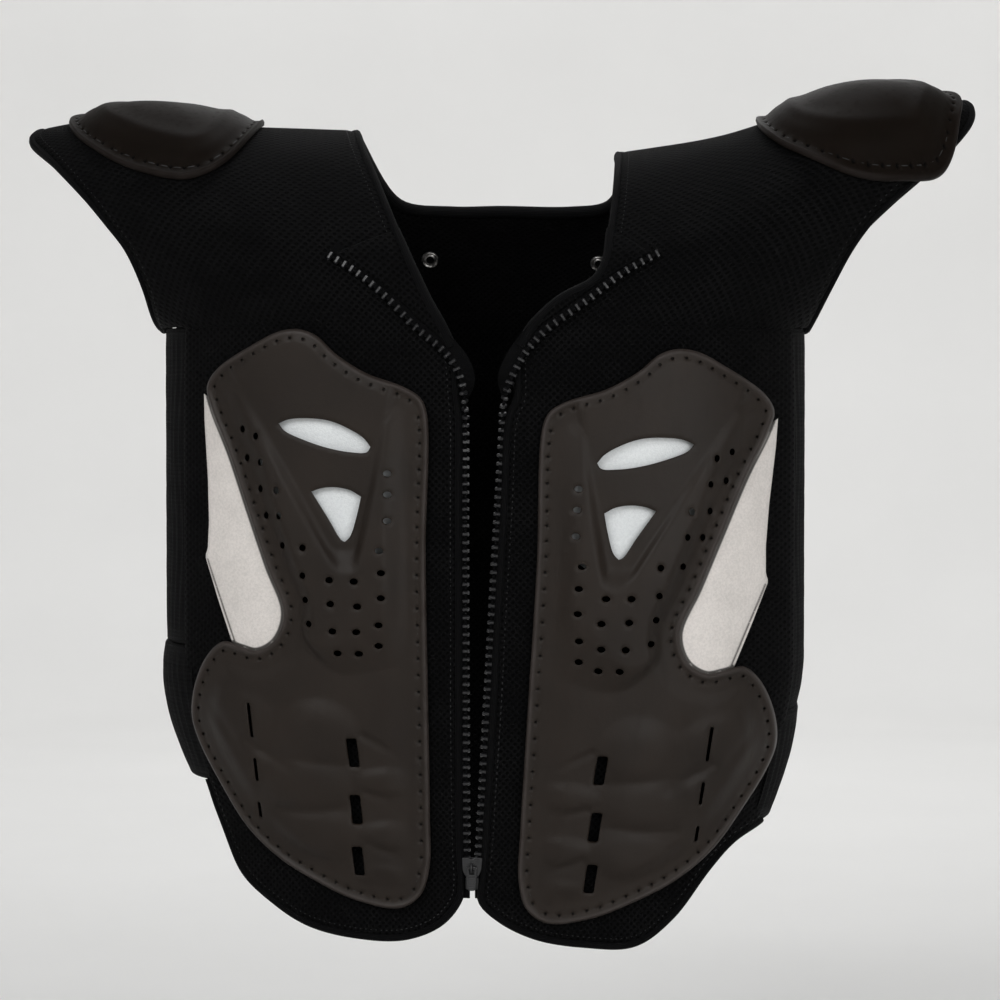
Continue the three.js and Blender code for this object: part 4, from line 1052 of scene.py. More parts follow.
def chest_shell(half):
    pattern = shell_cut
    x, z = shell_front(half, pattern.points)
    top = shell_seat + base_relief + shell_thickness
    outer, _ = on_front(x, z, top + fine_relief)
    inner, _ = on_front(x, z, top - shell_thickness + 0.25 * mm)
    # The rolled rim is paler, partly wear and partly a painted highlight, and the needle holes are painted
    # dark as shade.
    marks = {"rub_and_highlight": ease(3.3 * mm, 1.8 * mm, pattern.from_edge), "pit": pit_shade}
    piece = sheet_piece(f"chest_plate_{half.name}", outer, inner, pattern, armour_plastic,
                        marks, sharp=60)
    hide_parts(f"chest_shell_{half.name}")
    seats, normals = on_front(*shell_front(half, pattern.pits), shell_seat + shell_thickness - stitch_sunk)
    stitches(f"plate_stitches_{half.name}", seats, normals)
    return piece


for half in halves:
    print(chest_shell(half).name)

# %% [markdown]
# ## Silver cloth
# One silver sheet lies behind each shell's windows, and a tongue of the same cloth fills the notch beside
# the shell. Both are sewn flat on the front, so they follow the body as thin sheets.

# %% Reflectors
silver_thickness = 1.2 * mm

# The painted shadow beside a shell: it is full up to the first distance, and gone from the second on
shadow_reach = (1.2 * mm, 1.9 * mm)


def sheet_height(pattern, thickness, puff):
    """The sheet's top: soft round its cut edge, and a little fuller in its middle."""
    edge = ease(0, 1.2 * mm, pattern.from_edge)
    return thickness * mix(0.45, 1, edge) + puff * ease(2 * mm, 14 * mm, pattern.from_edge)


def silver_sheet(half, name, node, outline, finish, puff, pits=()):
    """A sheet that is sewn on the front, with painted shade in its needle holes. One with needle holes lies
    beside the shell and has a painted shadow along it.
    """
    shadowed = len(pits) > 0
    beside_shell = [beside(shell_cut.outline, -away) for away in shadow_reach] if shadowed else ()
    pattern = Pattern(outline, 2.6 * mm, [0.5 * mm, 1.2 * mm, 2.2 * mm], pits=pits,
                      pit_rings=[0.5 * mm, 1 * mm], lines=beside_shell)
    x, z = shell_front(half, pattern.points)
    top = on_panel + sheet_height(pattern, silver_thickness, puff) - pit_drop(pattern, 0.6 * mm, pit_radius)
    outer, _ = on_front(x, z, top)
    inner, _ = on_front(x, z, on_panel)
    # Painted shade in the needle holes, and a painted shadow along the shell's edge.
    mark = pit_drop(pattern, 1.0, 0.9 * mm)
    if shadowed:
        painted_shadow_line = ease(shadow_reach[1], shadow_reach[0], distance_to(pattern.points, shell_cut.outline))
        mark = np.maximum(mark, painted_shadow_line)
    piece = sheet_piece(name, outer, inner, pattern, finish, {"pit": mark})
    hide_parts(node)
    return piece, pattern


def window_outline(half):
    centre = flat_place(patch_centre)
    return smooth_curve(centre + (flat_place(patch) - centre) * half.patch, 3 * mm)


def tongue_outline():
    """The tongue, with sharp corners, reaching a little under the shell's edge."""
    return even_steps(np.vstack([flat_place(tongue), flat_place(tongue[:1])]), 2.2 * mm, True)


for half in halves:
    silver_sheet(half, f"window_silver_{half.name}", f"chest_reflector_{half.name}",
                 window_outline(half), window_silver, 0.0)
    holes = even_steps(flat_place(tongue_seam), 1.3 * mm, False)
    piece, pattern = silver_sheet(half, f"side_silver_{half.name}", f"side_reflector_{half.name}",
                                  tongue_outline(), silver_cloth, 0.6 * mm, holes)
    print(piece.name, len(pattern.triangles), "triangles a side")

# %% [markdown]
# ## Padded panels
# The fronts and the back are a foam core between two layers of mesh. Each is cut from a flat pattern, thin
# where it is bound and full in its middle. Its pattern is drawn over the body's surface: across in shares
# of the half width, and up along the body and over the shoulder arch.

# %% Panel patterns
panel_inset = bead / 2 + tape_width / 2
front_edge_drops = (300 * mm, 220 * mm)


def half_edge(table, half, height, width):
    """One half's column of an edge table: out and z, in metres."""
    column = 1 if half.sign < 0 else 2
    return np.array([(row[column] * width, -row[0] * height) for row in table])


def cut_places(x, z, height, face):
    """Where front-view places at a height off the body lie in a panel's flat pattern."""
    share, rise, _, _ = settled(x, z, height, face, cut_limit, 6, 0.7)
    return np.stack([share * body_half_width, rise], axis=-1)


def off_body(places, height, face):
    """Places of a flat pattern, a height off the body, with the body's normals."""
    points, normals = on_body(places[:, 0] / body_half_width, places[:, 1], face)
    return points + normals * np.broadcast_to(height, len(points))[:, None], normals


def zip_out(half, down):
    """How far out the zip's edge lies on one half, at places down the front."""
    wedge = slider_wedge / 2 * ease(slider_height / 2, -slider_height / 2, down - zip_travel)
    meeting = bead / 2 + gap + wedge
    opened = np.maximum(zip_travel - down, 0) / (zip_travel - neck_drop)
    return half.sign * zip_middle + (meeting if half.sign < 0 else mix(meeting, zip_spread, opened))


def seam_edge(share, top, bottom):
    """A side seam, at a share of the half width all the way down."""
    down = np.linspace(top, bottom, 9)
    return np.stack([share * half_width(-down) + padding / 2, -down], axis=-1)


def in_cut(runs, sign, height, face):
    """Runs of out and z places, turned into runs of the flat pattern."""
    return [cut_places(sign * run[:, 0], run[:, 1], height, face) for run in runs]


def front_runs(half):
    """A front's edges as runs of out and z, from the hem's inner corner up and round."""
    ends = np.array([zip_travel + slider_height / 2, zip_travel - slider_height, *front_edge_drops,
                     neck_drop * 1.12])
    inner = np.stack([zip_out(half, ends) + panel_inset, -ends], axis=-1)
    neck = half_edge(neckline, half, neck_drop, neck_half_width)
    arm = half_edge(armhole, half, armpit_drop, body_half_width)[::-1]
    seam = seam_edge(half.seam, armpit_drop, half.band_bottom)
    column = 1 if half.sign < 0 else 2
    foot = np.array([(row[0] * body_half_width, -row[column] * vest_drop) for row in hem])[::-1]
    inner = np.vstack([inner, neck])
    crest_line = np.vstack([inner[-1:], arm[:1]])
    corner = np.vstack([arm[-1:], seam[:1]])
    foot = np.vstack([seam[-1:], foot, inner[:1]])
    return {"inner": inner, "crest": crest_line, "arm": arm, "corner": corner, "seam": seam, "foot": foot}


print("front panel edges:", list(front_runs(halves[0])))

# %% A padded sheet


def round_edge(from_edge, half_thickness, reach):
    """Half the thickness of a pad, from its rounded edge inwards."""
    t = np.clip(from_edge / reach, 0, 1)
    return half_thickness * (0.25 + 0.75 * np.sqrt(np.maximum(1 - (1 - t) ** 2, 0)))


def hollows(places):
    """Soft dips in padded cloth: broad ones, and creases that run out from the armpit and the waist."""
    x, y = places.T / mm
    broad = np.sin(x / 31 + 1.3 * np.sin(y / 47)) * np.sin(y / 38 + 0.8 * np.sin(x / 40) + 1.1)
    crease = np.sin((y + 0.35 * np.abs(x)) / 9.5 + 1.5 * np.sin(x / 26))
    folded = ease(0.2, 1, crease) * ease(95, 150, np.abs(x)) * ease(-60, -140, y - 20) * ease(-330, -180, y)
    return (1.0 * ease(0, 1, broad) + 1.2 * folded) * mm


def pad(name, pattern, face, low, high, dips=True):
    """A padded sheet between two heights off the body, rounded along its outline."""
    middle, half_thickness = (low + high) / 2, (high - low) / 2
    thick = round_edge(pattern.from_edge, half_thickness, 5 * mm)
    dip = hollows(pattern.points) * ease(2 * mm, 14 * mm, pattern.from_edge) if dips else 0
    outer, _ = off_body(pattern.points, middle + thick - dip, face)
    inner, _ = off_body(pattern.points, middle - thick, face)
    return sheet_piece(name, outer, inner, pattern, mesh_cloth, sharp=80)


def trim(name, paths, face, height, section):
    """A bar of binding along paths of the flat pattern."""
    points, faces, flat = bars([stations(*off_body(path, height, face)) for path in paths], section)
    return add_piece(name, points, facing_out(points, faces), binding, flat)


panel_rims = [0.4 * mm, 1.1 * mm, 2.1 * mm, 3.4 * mm, 5 * mm]
edge_step = 3 * mm
binding_section = oval(2.7 * mm, padding / 2 + 0.5 * mm, 12)
print("binding is", round(2 * binding_section[:, 1].max() / mm, 1), "mm thick")

# %% Front panels with their bound edges
edge_stitch = 3.4 * mm
edge_stitch_inset = 4.2 * mm


def dotted(path, inset):
    """Short threads along a front's edge, a little way in from it."""
    path = even_steps(path, edge_stitch, False)
    run = unit(np.gradient(path, axis=0))
    path = path + np.stack([-run[:, 1], run[:, 0]], axis=-1) * inset
    seats, normals = off_body(path, padding - 0.5 * mm, -1)
    lifts = unit(normals[:-1] + normals[1:])
    return [stitch_run(mix(start, end, 0.12), mix(start, end, 0.88), lift, 0.3 * mm)
            for start, end, lift in zip(seats[:-1], seats[1:], lifts)]


def front_panel(half):
    runs = front_runs(half)
    cut = dict(zip(runs, in_cut(runs.values(), half.sign, padding / 2, -1)))
    pattern = Pattern(joined(cut.values(), edge_step), 4.2 * mm, panel_rims)
    piece = pad(f"front_cloth_{half.name}", pattern, -1, 0, padding)
    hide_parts(f"front_panel_{half.name}")
    edges = [smooth_curve(cut[name], edge_step, closed=False) for name in ("inner", "arm", "foot")]
    trim(f"front_binding_{half.name}", edges, -1, padding / 2, binding_section)
    threads = [stitch for path in edges for stitch in dotted(path, -half.sign * edge_stitch_inset)]
    points, faces, flat = bars(threads, oval(0.28 * mm, 0.24 * mm, 5))
    add_piece(f"front_stitches_{half.name}", points, faces, thread, flat)
    return piece, pattern


for half in halves:
    piece, pattern = front_panel(half)
    print(piece.name, len(pattern.triangles), "triangles a side")

# %% Lapels
lapel_low = on_panel
lapel_high = padding + lapel_thickness
roll_section = oval(3.6 * mm, lapel_high / 2, 14)


def lapel_runs(half):
    """The turned-back corner: its toothed edge, and the fold along the neckline."""
    edge = half_edge(lapel_edge, half, neck_drop, neck_half_width)
    fold = half_edge(neckline, half, neck_drop, neck_half_width)[1:6]
    run = unit(np.gradient(edge, axis=0))
    inset = edge - np.stack([np.abs(run[:, 1]), -np.abs(run[:, 0])], axis=-1) * panel_inset
    fold_table = [(-z, out) for out, z in fold[::-1]]
    clear = inset[:, 0] > along(fold_table, -inset[:, 1]) + 2 * mm
    return inset[clear], fold


def lapel(half):
    inset, fold = lapel_runs(half)
    height = (lapel_low + lapel_high) / 2
    tip = np.vstack([inset[-1:], fold[:1]])
    top = np.vstack([fold[-1:], inset[:1]])
    runs = in_cut([inset, tip, fold, top], half.sign, height, -1)
    pattern = Pattern(joined(runs, 2.4 * mm), 3.2 * mm, panel_rims[:4])
    piece = pad(f"lapel_{half.name}", pattern, -1, lapel_low, lapel_high, dips=False)
    path = smooth_curve(in_cut([fold], half.sign, padding, -1)[0], 2.5 * mm, closed=False)
    trim(f"lapel_roll_{half.name}", [path], -1, lapel_high / 2, roll_section)
    return piece


for half in halves:
    print(lapel(half).name)

# %% Back panel


def back_runs():
    left, right = halves
    arm_left = half_edge(armhole, left, armpit_drop, body_half_width) * (-1, 1)
    arm_right = half_edge(armhole, right, armpit_drop, body_half_width)
    seam = seam_edge(back_seam_share, armpit_drop, back_hem_drop)
    neck = np.array([(across * neck_half_width, -down * back_neck_drop) for across, down in back_neckline])
    side = seam[-1, 0]
    tail = np.array([(across * side, -back_hem_drop - down * tail_drop) for across, down in back_tail])
    return {
        "seam right": seam[::-1],
        "corner right": np.vstack([seam[:1], arm_right[:1]]),
        "arm right": arm_right,
        "crest right": np.vstack([arm_right[-1:], neck[:1]]),
        "neck": neck,
        "crest left": np.vstack([neck[-1:], arm_left[-1:]]),
        "arm left": arm_left[::-1],
        "corner left": np.vstack([arm_left[:1], seam[:1] * (-1, 1)]),
        "seam left": seam * (-1, 1),
        "hem": np.vstack([seam[-1:] * (-1, 1), tail * (-1, 1), tail[::-1], seam[-1:]])}


def back_panel():
    runs = back_runs()
    cut = dict(zip(runs, in_cut(runs.values(), 1, padding / 2, 1)))
    pattern = Pattern(joined(cut.values(), edge_step), 4.6 * mm, panel_rims)
    piece = pad("back_cloth", pattern, 1, 0, padding)
    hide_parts("back_panel")
    bound = ("arm right", "arm left", "neck", "hem")
    edges = [smooth_curve(cut[name], edge_step, closed=False) for name in bound]
    trim("back_binding", edges, 1, padding / 2, binding_section)
    return piece, pattern


piece, pattern = back_panel()
print(piece.name, len(pattern.triangles), "triangles a side")

# %% [markdown]
# ## Elastic sides and bands
# Stretch cloth joins front and back under each arm, with a fuller band at the waist. Both are plain strips,
# so a regular grid is the simplest mesh. Their ends are tucked into the panels' padding.

# %% Elastic strips
strip_tuck = 0.03
strip_columns = 64

# Rows of a strip: how far the first and last ones lie from its edges, and the pitch of the others, in mm
strip_edge_rows = np.array([0, 0.4, 1, 1.8])
strip_pitch = 3


def around_side(half, turn, z, height):
    """Places round the side: turn runs from the front, below 0, to the back, above 0."""
    share = half.sign * np.abs(np.cos(turn)) ** (2 / plan_power)
    front, front_normals = on_body(share, z + armpit_drop, -1)
    rear, rear_normals = on_body(share, z + armpit_drop, 1)
    ahead = (turn < 0)[:, None]
    points, normals = np.where(ahead, front, rear), np.where(ahead, front_normals, rear_normals)
    return points + normals * height[:, None]


def side_turn(share):
    return math.acos(share ** (plan_power / 2))


def elastic_strip(name, node, half, top, bottom, low, high, bulge):
    """A strip from inside the front seam to inside the back seam, between two drops."""
    front_turn, back_turn = side_turn(half.seam - strip_tuck), side_turn(back_seam_share - strip_tuck)
    turns = np.linspace(-front_turn, back_turn, strip_columns)
    tall = (bottom - top) / mm
    between = np.arange(strip_pitch, tall - strip_pitch, strip_pitch)
    drops = np.concatenate([strip_edge_rows, between, tall - strip_edge_rows[::-1]]) * mm + top
    columns, rows = len(turns), len(drops)
    turn, down = (grid.ravel() for grid in np.meshgrid(turns, drops))
    from_edge = np.minimum(down - top, bottom - down)
    swell = bulge * np.sin(np.pi * (down - top) / (bottom - top))
    thick = round_edge(from_edge, (high - low) / 2, 1.8 * mm)
    gathers = 0.35 * mm * np.sin(turn * 95 + 2 * np.sin(down / mm / 17)) * ease(2 * mm, 12 * mm, from_edge)
    outer = around_side(half, turn, -down, (low + high) / 2 + swell + thick + gathers)
    inner = around_side(half, turn, -down, (low + high) / 2 + swell - thick)
    index = np.arange(columns * rows).reshape(rows, columns)
    a, b = index[:-1, :-1].ravel(), index[:-1, 1:].ravel()
    c, d = index[1:, 1:].ravel(), index[1:, :-1].ravel()
    triangles = np.vstack([np.column_stack([a, d, c]), np.column_stack([a, c, b])])
    width = length_of(outer[:columns])
    flat = np.stack([turn / np.ptp(turns) * width, -down], axis=-1)
    strip = SimpleNamespace(points=flat, triangles=triangles)
    piece = sheet_piece(name, outer, inner, strip, elastic, sharp=70)
    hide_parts(node)
    return piece


for half in halves:
    side = elastic_strip(f"side_cloth_{half.name}", f"side_panel_{half.name}", half, armpit_drop,
                         half.band_top, elastic_inset, elastic_inset + elastic_thickness, 0)
    band = elastic_strip(f"band_cloth_{half.name}", f"waist_band_{half.name}", half, half.band_top,
                         half.band_bottom, elastic_inset, elastic_inset + band_thickness, band_bulge)
    print(side.name, band.name)

# %% [markdown]
# ## Shoulder caps
# A cap is moulded like a shell: a flange with needle holes, then a shallow dome with a raised inner field.
# Its pattern is its view from above, laid over the shoulder.

# %% Caps
cap_seat = on_panel + 2 * gap
cap_thickness = 3 * mm
cap_dome = [(0, 0), (6.8, 0), (10, 1.7), (14, 3.3), (20, 4.6), (28, 5.9), (42, 7.3), (57, 8)]


def cap_relief(pattern):
    from_edge = pattern.from_edge / mm
    dome = along(cap_dome, from_edge)
    field = 0.9 * np.exp(-(((from_edge - 20) / 3.2) ** 2)) - 0.7 * ease(22, 30, from_edge)
    roll = 0.8 * np.exp(-(((from_edge - 1.2) / 0.9) ** 2)) - 0.9 * ease(0.9, 0, from_edge)
    channel = 0.4 * np.exp(-(((from_edge - 4.6) / 1.0) ** 2))
    return (dome + field + roll - channel) * mm


def cap_places(half, places, height):
    x = half.sign * (half.cap_out + places[:, 0])
    seats, normals = on_shoulder(x, half.cap_back + places[:, 1], half.cap_out)
    return seats + normals * np.broadcast_to(height, len(x))[:, None], normals


def shoulder_cap(half):
    corners = np.array(cap_outlines[half.name]) * (cap_half_width, cap_half_depth)
    outline = smooth_curve(corners, 1.5 * mm)
    pits = stitch_places(outline, 4.6 * mm, lambda place: 7.8 * mm)
    pattern = Pattern(outline, 2.1 * mm, moulded_rims, pits=pits, pit_rings=[0.45 * mm, 0.85 * mm, 1.3 * mm])
    relief = cap_relief(pattern)
    top = cap_seat + cap_thickness + relief - pit_drop(pattern, 1.1 * mm, pit_radius)
    outer, _ = cap_places(half, pattern.points, top)
    inner, _ = cap_places(half, pattern.points, cap_seat + np.maximum(relief, 0) + gap)
    # The rolled rim is paler, partly wear and partly a painted highlight, and the needle holes are painted
    # dark as shade.
    marks = {"rub_and_highlight": ease(2.4 * mm, 1.1 * mm, pattern.from_edge), "pit": pit_drop(pattern, 1.0, 1.2 * mm)}
    piece = sheet_piece(f"cap_{half.name}", outer, inner, pattern, shaded_cap_plastic, marks, 60)
    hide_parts(f"shoulder_cap_{half.name}")
    seats, normals = cap_places(half, pits, cap_seat + 2.1 * mm)
    stitches(f"cap_stitches_{half.name}", seats, normals)
    return piece


for half in halves:
    print(shoulder_cap(half).name)

# %% [markdown]
# ## The zip
# A chunky moulded zip: each tooth is a small block that grips a cord at the tape's edge, with a rounded head
# that points at the other row. One tooth is a short stack of sections. Copies of it are set along the edge
# of the front, round the fold and out along the turned-back lapel.

# %% The zip's path
tooth_pitch = 4.7 * mm
bead_lift = padding / 2
lapel_lift = padding + bead / 2 + 2 * gap
turn_over = {"starts": 1.16, "upright": 1.07}
tape_tail = 12.5 * mm

# The teeth's turn, from 0 to 1, counts as this much length where the path is smoothed
turn_length = 10 * mm


def zip_path(half, step, start=0.0, tail=0.0):
    """Stations along the teeth, from the bottom up, with the row turned over on the lapel."""
    low = np.linspace(zip_travel + slider_height / 2 + tail, zip_travel - slider_height / 2, 4)
    high = np.linspace(zip_travel, neck_drop * turn_over["starts"], 8)[2:]
    down = np.concatenate([low, high])
    level = np.ones(len(down))
    straight = np.stack([zip_out(half, down), -down, bead_lift * level, 0 * level], axis=-1)
    upright = neck_drop * turn_over["upright"]
    joint = np.array([[zip_out(half, upright), -upright, padding, 0.5]])
    edge = half_edge(lapel_edge, half, neck_drop, neck_half_width)[::-1]
    level = np.ones(len(edge))
    edge = np.column_stack([edge, lapel_lift * level, level])
    path = smooth_curve(np.vstack([straight, joint, edge]) * (1, 1, 1, turn_length), mm, closed=False)
    reach = reach_along(path[:, :3])
    out, z, lift, turn = at_reach(path, reach, np.arange(start, reach[-1], step)).T
    seats, normals = on_body(*share_and_rise(half.sign * out, z), -1)
    origins = seats + normals * lift[:, None]
    run = unit(np.gradient(origins, axis=0))
    across = unit(np.cross(run, normals)) * half.sign
    up = unit(np.cross(across, run)) * half.sign
    angle = (turn / turn_length * np.pi)[:, None]
    side = across * np.cos(angle) - up * np.sin(angle)
    out = across * np.sin(angle) + up * np.cos(angle)
    return origins, side, out, run


print("teeth in the left row:", len(zip_path(halves[0], tooth_pitch)[0]))

# %% Teeth and tape

# Sections of a tooth from its head to its heel, in mm: how far from the cord, half height, half thickness
tooth_sections = [(-2.35, 0.5, 0.8), (-2.1, 0.9, 1.35), (-1.3, 1.15, 1.65), (-0.5, 0.95, 1.55),
                  (0.5, 1.15, 1.85), (1.7, 1.2, 1.85), (2.1, 0.85, 1.4)]


# A section's corners, in shares of its half sizes
tooth_corner = 0.55
tooth_ring = np.array([(1, tooth_corner), (tooth_corner, 1), (-tooth_corner, 1), (-1, tooth_corner),
                       (-1, -tooth_corner), (-tooth_corner, -1), (tooth_corner, -1), (1, -tooth_corner)])


def tooth(origin, side, out, run):
    """One tooth's points: a ring of corners for each section."""
    points = [origin + side * s * mm + run * tooth_ring[:, :1] * h * mm + out * tooth_ring[:, 1:] * t * mm
              for s, h, t in tooth_sections]
    return np.vstack(points)


def zip_row(half):
    start = 1.2 * mm + (0 if half.sign < 0 else tooth_pitch / 2)
    origins, sides, outs, runs = zip_path(half, tooth_pitch, start)
    size, layers = len(tooth_ring), len(tooth_sections)
    shape = [(k * size + i, k * size + (i + 1) % size, (k + 1) * size + (i + 1) % size, (k + 1) * size + i)
             for k in range(layers - 1) for i in range(size)]
    shape += [tuple(reversed(range(size))), tuple((layers - 1) * size + i for i in range(size))]
    points = np.vstack([tooth(*each) for each in zip(origins, sides, outs, runs)])
    faces = [tuple(n + k * size * layers for n in face) for k in range(len(origins)) for face in shape]
    faces = facing_out(points, faces)
    return add_piece(f"zip_teeth_{half.name}", points, faces, tooth_plastic, sharp=35)


def zip_tape(half):
    """Woven tape with the cord that the teeth grip along its edge."""
    origins, sides, outs, _ = zip_path(half, 2 * mm, tail=tape_tail)
    cord = oval(0.9 * mm, 0.9 * mm, 8)[1:8]
    tape = np.array([(8.5, -0.4), (8.5, 0.4), (0.8, 0.4)]) * mm
    section = np.vstack([tape, cord, [[0.8 * mm, -0.4 * mm]]])
    points, faces, flat = bars([(origins, sides, outs)], section)
    faces = facing_out(points, faces)
    piece = add_piece(f"tape_{half.name}", points, faces, woven_tape, flat)
    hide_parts(f"zip_tape_{half.name}")
    return piece, length_of(origins)


for half in halves:
    teeth = zip_row(half)
    piece, length = zip_tape(half)
    print(piece.name, round(length, 3), "m long")

# %% [markdown]
# ## Slider, pull, box and rivets
# The slider is two small cast plates with a wedge between them that parts the teeth, and a bail on its face
# that the pull hangs from. The pull is stamped with a grip. A box below stops the slider, and two ring
# rivets are pressed into the inside of the back. Each plate is a tiny pattern, so its edges can be rounded.

# %% Small plates


def soft_corners(corners, radius):
    """An outline in mm whose corners are rounded."""
    corners = np.asarray(corners, float)
    t = np.linspace(0, 1, 5)[:, None]
    arcs = []
    for before, corner, after in zip(np.roll(corners, 1, axis=0), corners, np.roll(corners, -1, axis=0)):
        start, end = corner + radius * unit(before - corner), corner + radius * unit(after - corner)
        arcs.append((1 - t) ** 2 * start + 2 * t * (1 - t) * corner + t**2 * end)
    return np.vstack(arcs)


def cast_plate(corners, radius, thickness, bevel, relief=None, hole=None):
    """A plate with rounded edges, in mm round its own middle. relief gives its extra height from the places'
    x and z and from how far they lie from an edge."""
    holes = [] if hole is None else [even_steps(soft_corners(hole, 0.4), 0.3, True)]
    outline = even_steps(soft_corners(corners, radius), 0.35, True)
    pattern = Pattern(outline, 0.5, [bevel * share for share in (0.1, 0.35, 0.7, 1)], holes,
                      [bevel * share for share in (0.1, 0.35, 0.7)])
    edge = pattern.from_edge
    for loop in holes:
        edge = np.minimum(edge, distance_to(pattern.points, loop))
    half_thick = thickness / 2 - bevel * (1 - np.sqrt(1 - (1 - np.clip(edge / bevel, 0, 1)) ** 2))
    x, z = pattern.points.T
    extra = relief(x, z, edge) if relief else 0
    front, rear = (np.stack([x, side * (half_thick + extra), z], axis=-1) for side in (-1, 1))
    return two_sheets(front, rear, pattern.triangles)


def fused(parts, centre):
    """Several closed bodies in mm as one set of points and faces round a centre in metres."""
    points, faces, start = [], [], 0
    for part_points, part_faces, offset in parts:
        points.append(part_points + offset)
        faces += [tuple(start + i for i in face) for face in part_faces]
        start += len(part_points)
    return np.vstack(points) * mm + centre, faces


print("corners of a rounded square:", len(soft_corners([(0, 0), (4, 0), (4, 4), (0, 4)], 1)))

# %% Slider, pull and box

# These sizes are in mm
slider_size = np.array([6, 5.5])
slider_thickness = 7.4
slider_shares = [(-1, 1), (-1, 0), (-.6, -1), (.6, -1), (1, 0), (1, 1), (.3, 1), (0, .8), (-.3, 1)]
plate_thickness = 1.5
bail_radius = 2.2
bail_wire = 0.7
bail_stations = 25
low_corner, high_corner = (np.array(corner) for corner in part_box("zip_slider"))
slider_middle = (low_corner + high_corner) / 2
slider_middle[1] = high_corner[1] - slider_thickness / 2 * mm
bail_out = slider_thickness / 2 + bail_radius - bail_wire / 2


def crown(x, z, edge):
    return 0.22 * ease(0.4, 3, edge)


def zip_slider():
    corners = np.array(slider_shares) * slider_size
    plate_out = (slider_thickness - plate_thickness) / 2
    face = cast_plate(corners, 0.9, plate_thickness, 0.45, crown)
    wedge = cast_plate([(-0.9, 4.4), (-0.5, 0.6), (0.5, 0.6), (0.9, 4.4)], 0.3, 2 * plate_out, 0.2)
    turns = np.linspace(-0.75, 0.75, bail_stations) * np.pi
    outs = np.stack([0 * turns, -np.cos(turns), np.sin(turns)], axis=-1)
    sides = np.tile([1.0, 0, 0], (bail_stations, 1))
    bail_points, bail_faces, _ = bars([(outs * bail_radius, sides, outs)], oval(bail_wire, bail_wire, 12))
    bail = bail_points, facing_out(bail_points, bail_faces)
    points, faces = fused([(*face, (0, -plate_out, 0)), (*face, (0, plate_out, 0)), (*wedge, (0, 0, 0)),
                           (*bail, (0, -bail_out, 0))], slider_middle)
    piece = add_piece("slider", points, faces, coated_metal, sharp=40)
    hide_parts("zip_slider")
    return piece


def zip_pull():
    right = [(1.5, -13), (2.4, -12), (3, -4.8), (3, 0.7)]
    corners = [(-x, z) for x, z in right[::-1]] + right
    eye = [(-1.3, -0.7), (1.3, -0.7), (1.3, -3.8), (-1.3, -3.8)]

    def grip(x, z, edge):
        field = ease(0.5, 1.0, edge) * ease(-4.8, -5.6, z)
        return field * (0.12 * np.cos((z + 5) * 2 * np.pi / 1.3) - 0.2)

    plate = cast_plate(corners, 0.8, 1.4, 0.4, grip, eye)
    points, faces = fused([(*plate, (0, -bail_out, 0))], slider_middle)
    piece = add_piece("pull_tab", points, faces, coated_metal, sharp=40)
    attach(piece, "pull")
    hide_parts("zip_pull")
    return piece


def zip_box():
    def groove(x, z, edge):
        return -0.4 * np.exp(-((x / 0.45) ** 2)) * ease(0.3, 1.2, edge)

    low, high = (np.array(corner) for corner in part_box("zip_box"))
    corners = [(-4, 3.5), (-4, -3.5), (4, -3.5), (4, 3.5)]
    points, faces = fused([(*cast_plate(corners, 1.1, 4.6, 0.8, groove), (0, 0, 0))], (low + high) / 2)
    piece = add_piece("retainer_box", points, faces, tooth_plastic, sharp=40)
    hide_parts("zip_box")
    return piece


for piece in (zip_slider(), zip_pull(), zip_box()):
    print(piece.name, len(piece.data.polygons), "faces")

# %% Ring rivets

# A rivet's section: its rolled flange, a groove and the rolled lip of its bore, as radius and height in mm
rivet_section = [(2.4, 0), (2.4, 1.3), (2.65, 1.75), (3.05, 1.85), (3.4, 1.6), (3.75, 1.35), (4.15, 1.6),
                 (4.6, 2), (5.05, 1.85), (5.4, 1.3), (5.5, 0.6), (5.5, 0)]
rivet_sunk = 0.6
rivet_stations = 48


def ring_rivet(half):
    """A ring of one section, pressed a little way into the back."""
    place = np.array([half.sign * half.rivet_out]), np.array([-half.rivet_down])
    seats, normals = on_body(*share_and_rise(*place), 1)
    normal = normals[0]
    side = unit(np.cross(normal, (0, 0, 1)))
    up = np.cross(side, normal)
    turns = np.arange(rivet_stations) * 2 * np.pi / rivet_stations
    outs = side * np.cos(turns)[:, None] + up * np.sin(turns)[:, None]
    centres = np.tile(seats[0] + normal * rivet_sunk * mm, (rivet_stations, 1))
    inwards = np.tile(-normal, (rivet_stations, 1))
    points, faces, _ = bars([(centres, outs, inwards)], np.array(rivet_section) * mm, closed=True)
    faces = facing_out(points, faces)
    piece = add_piece(f"ring_{half.name}", points, faces, dark_metal, sharp=45)
    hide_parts(f"rivet_{half.name}")
    return piece


for half in halves:
    print(ring_rivet(half).name)

# %% [markdown]
# ## The floor, the lights and the camera
# A pale sweep of paper runs under the vest and up behind it, and large soft lights reach it, two from in
# front, one from behind and one for the paper alone. The camera stands at the photograph's angle.

# %% Stage


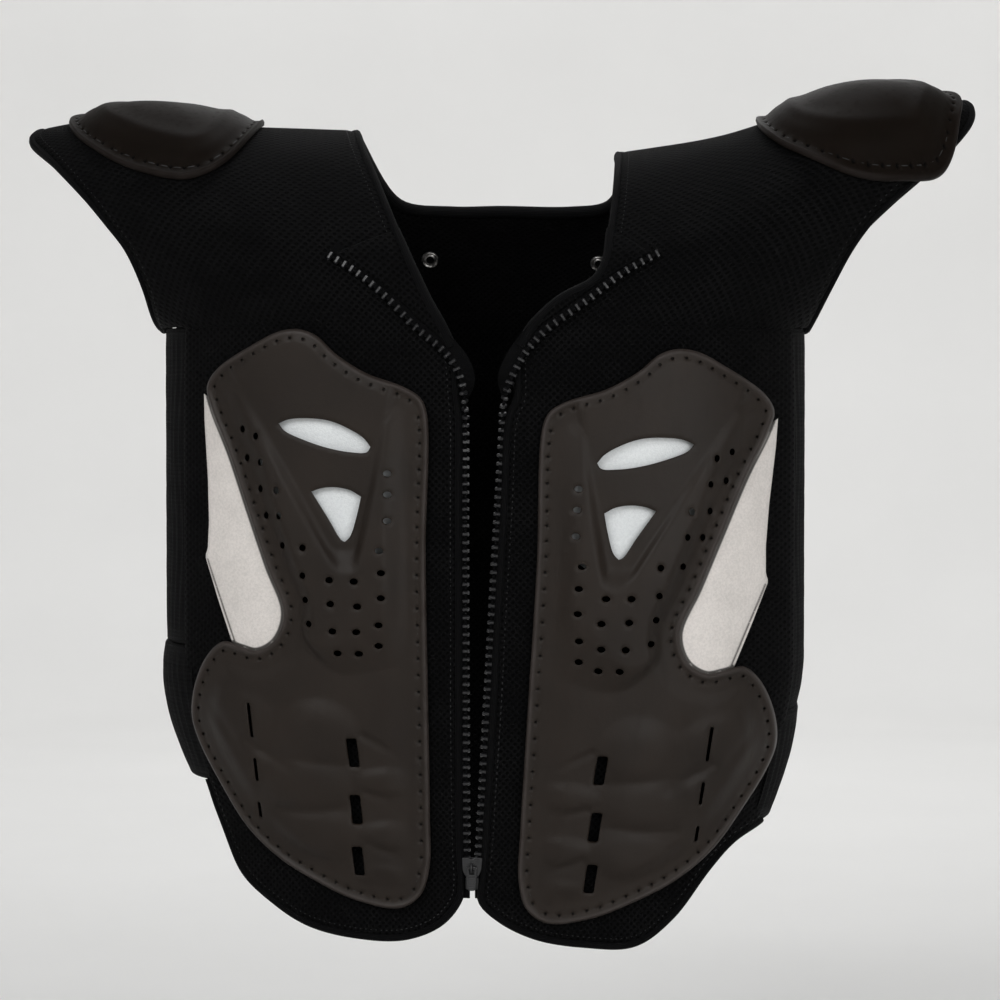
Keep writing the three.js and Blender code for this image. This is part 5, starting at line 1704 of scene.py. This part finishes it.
def sweep():
    """A round floor that curves up into a wall all round, in metres."""
    floor, high = -0.62, 3.4
    radius, bend = 3.6, 1.0
    sides = 64
    turns = np.linspace(0, np.pi / 2, 16)
    curve = np.stack([radius - bend + bend * np.sin(turns), floor + bend - bend * np.cos(turns)], axis=-1)
    profile = np.vstack([[1.0, floor], curve, [radius, high]])
    around = np.arange(sides) * 2 * np.pi / sides
    rings = [np.stack([r * np.cos(around), r * np.sin(around), np.full(sides, z)], axis=-1)
             for r, z in profile]
    faces = [tuple(range(sides))]
    for low in range(0, (len(profile) - 1) * sides, sides):
        for i in range(sides):
            after = (i + 1) % sides
            faces.append((low + i, low + sides + i, low + sides + after, low + after))
    mesh = bpy.data.meshes.new("sweep")
    mesh.from_pydata(np.vstack(rings).tolist(), [], faces)
    mesh.shade_smooth()
    paper = Finish("pale paper", Roughness=0.9, Specular_IOR_Level=0.2)
    fibres = paper.noise(paper.place(), 3, 4)
    paper.colour(paper.blend(fibres, rgb(0.70, 0.695, 0.685), rgb(0.76, 0.755, 0.745)))
    mesh.materials.append(paper.material)
    stage = bpy.data.objects.new("sweep", mesh)
    bpy.context.collection.objects.link(stage)


def soft_light(name, place, size, power, towards=(0, 0, -0.22)):
    """A large square light that faces the vest's chest, or another place."""
    data = bpy.data.lights.new(name, "AREA")
    data.size = size
    data.energy = power
    light = bpy.data.objects.new(name, data)
    light.location = place
    light.rotation_euler = (Vector(towards) - Vector(place)).to_track_quat("-Z", "Y").to_euler()
    bpy.context.collection.objects.link(light)


sweep()
soft_light("key", (-1.1, -2.3, 1.3), 1.4, 32)
soft_light("fill", (1.5, -2.2, 0.4), 1.6, 23)
soft_light("back", (0.2, 2.4, 1.6), 1.6, 7)
soft_light("wall", (0, 1, 2.4), 1.6, 60, (0, 3.6, 0.2))
world = bpy.data.worlds.new("room")
world.use_nodes = True
world.node_tree.nodes["Background"].inputs["Color"].default_value = rgb(0.9, 0.95, 1.0)
world.node_tree.nodes["Background"].inputs["Strength"].default_value = 0.2
bpy.context.scene.world = world
bpy.context.scene.view_settings.view_transform = "Standard"
print("lights are set")

# %% Camera
camera_turn = math.radians(4)
camera_rise = math.radians(2)
camera_distance = 2.0
aim = Vector((0.008, 0.0, -0.221))

lens = bpy.data.cameras.new("camera")
lens.lens = 120
lens.sensor_width = 36
camera = bpy.data.objects.new("camera", lens)
back = Vector((math.sin(camera_turn) * math.cos(camera_rise),
               -math.cos(camera_turn) * math.cos(camera_rise), math.sin(camera_rise)))
camera.location = aim + back * camera_distance
camera.rotation_euler = (-back).to_track_quat("-Z", "Y").to_euler()
bpy.context.collection.objects.link(camera)
bpy.context.scene.camera = camera
print("camera at", tuple(round(c, 3) for c in camera.location))
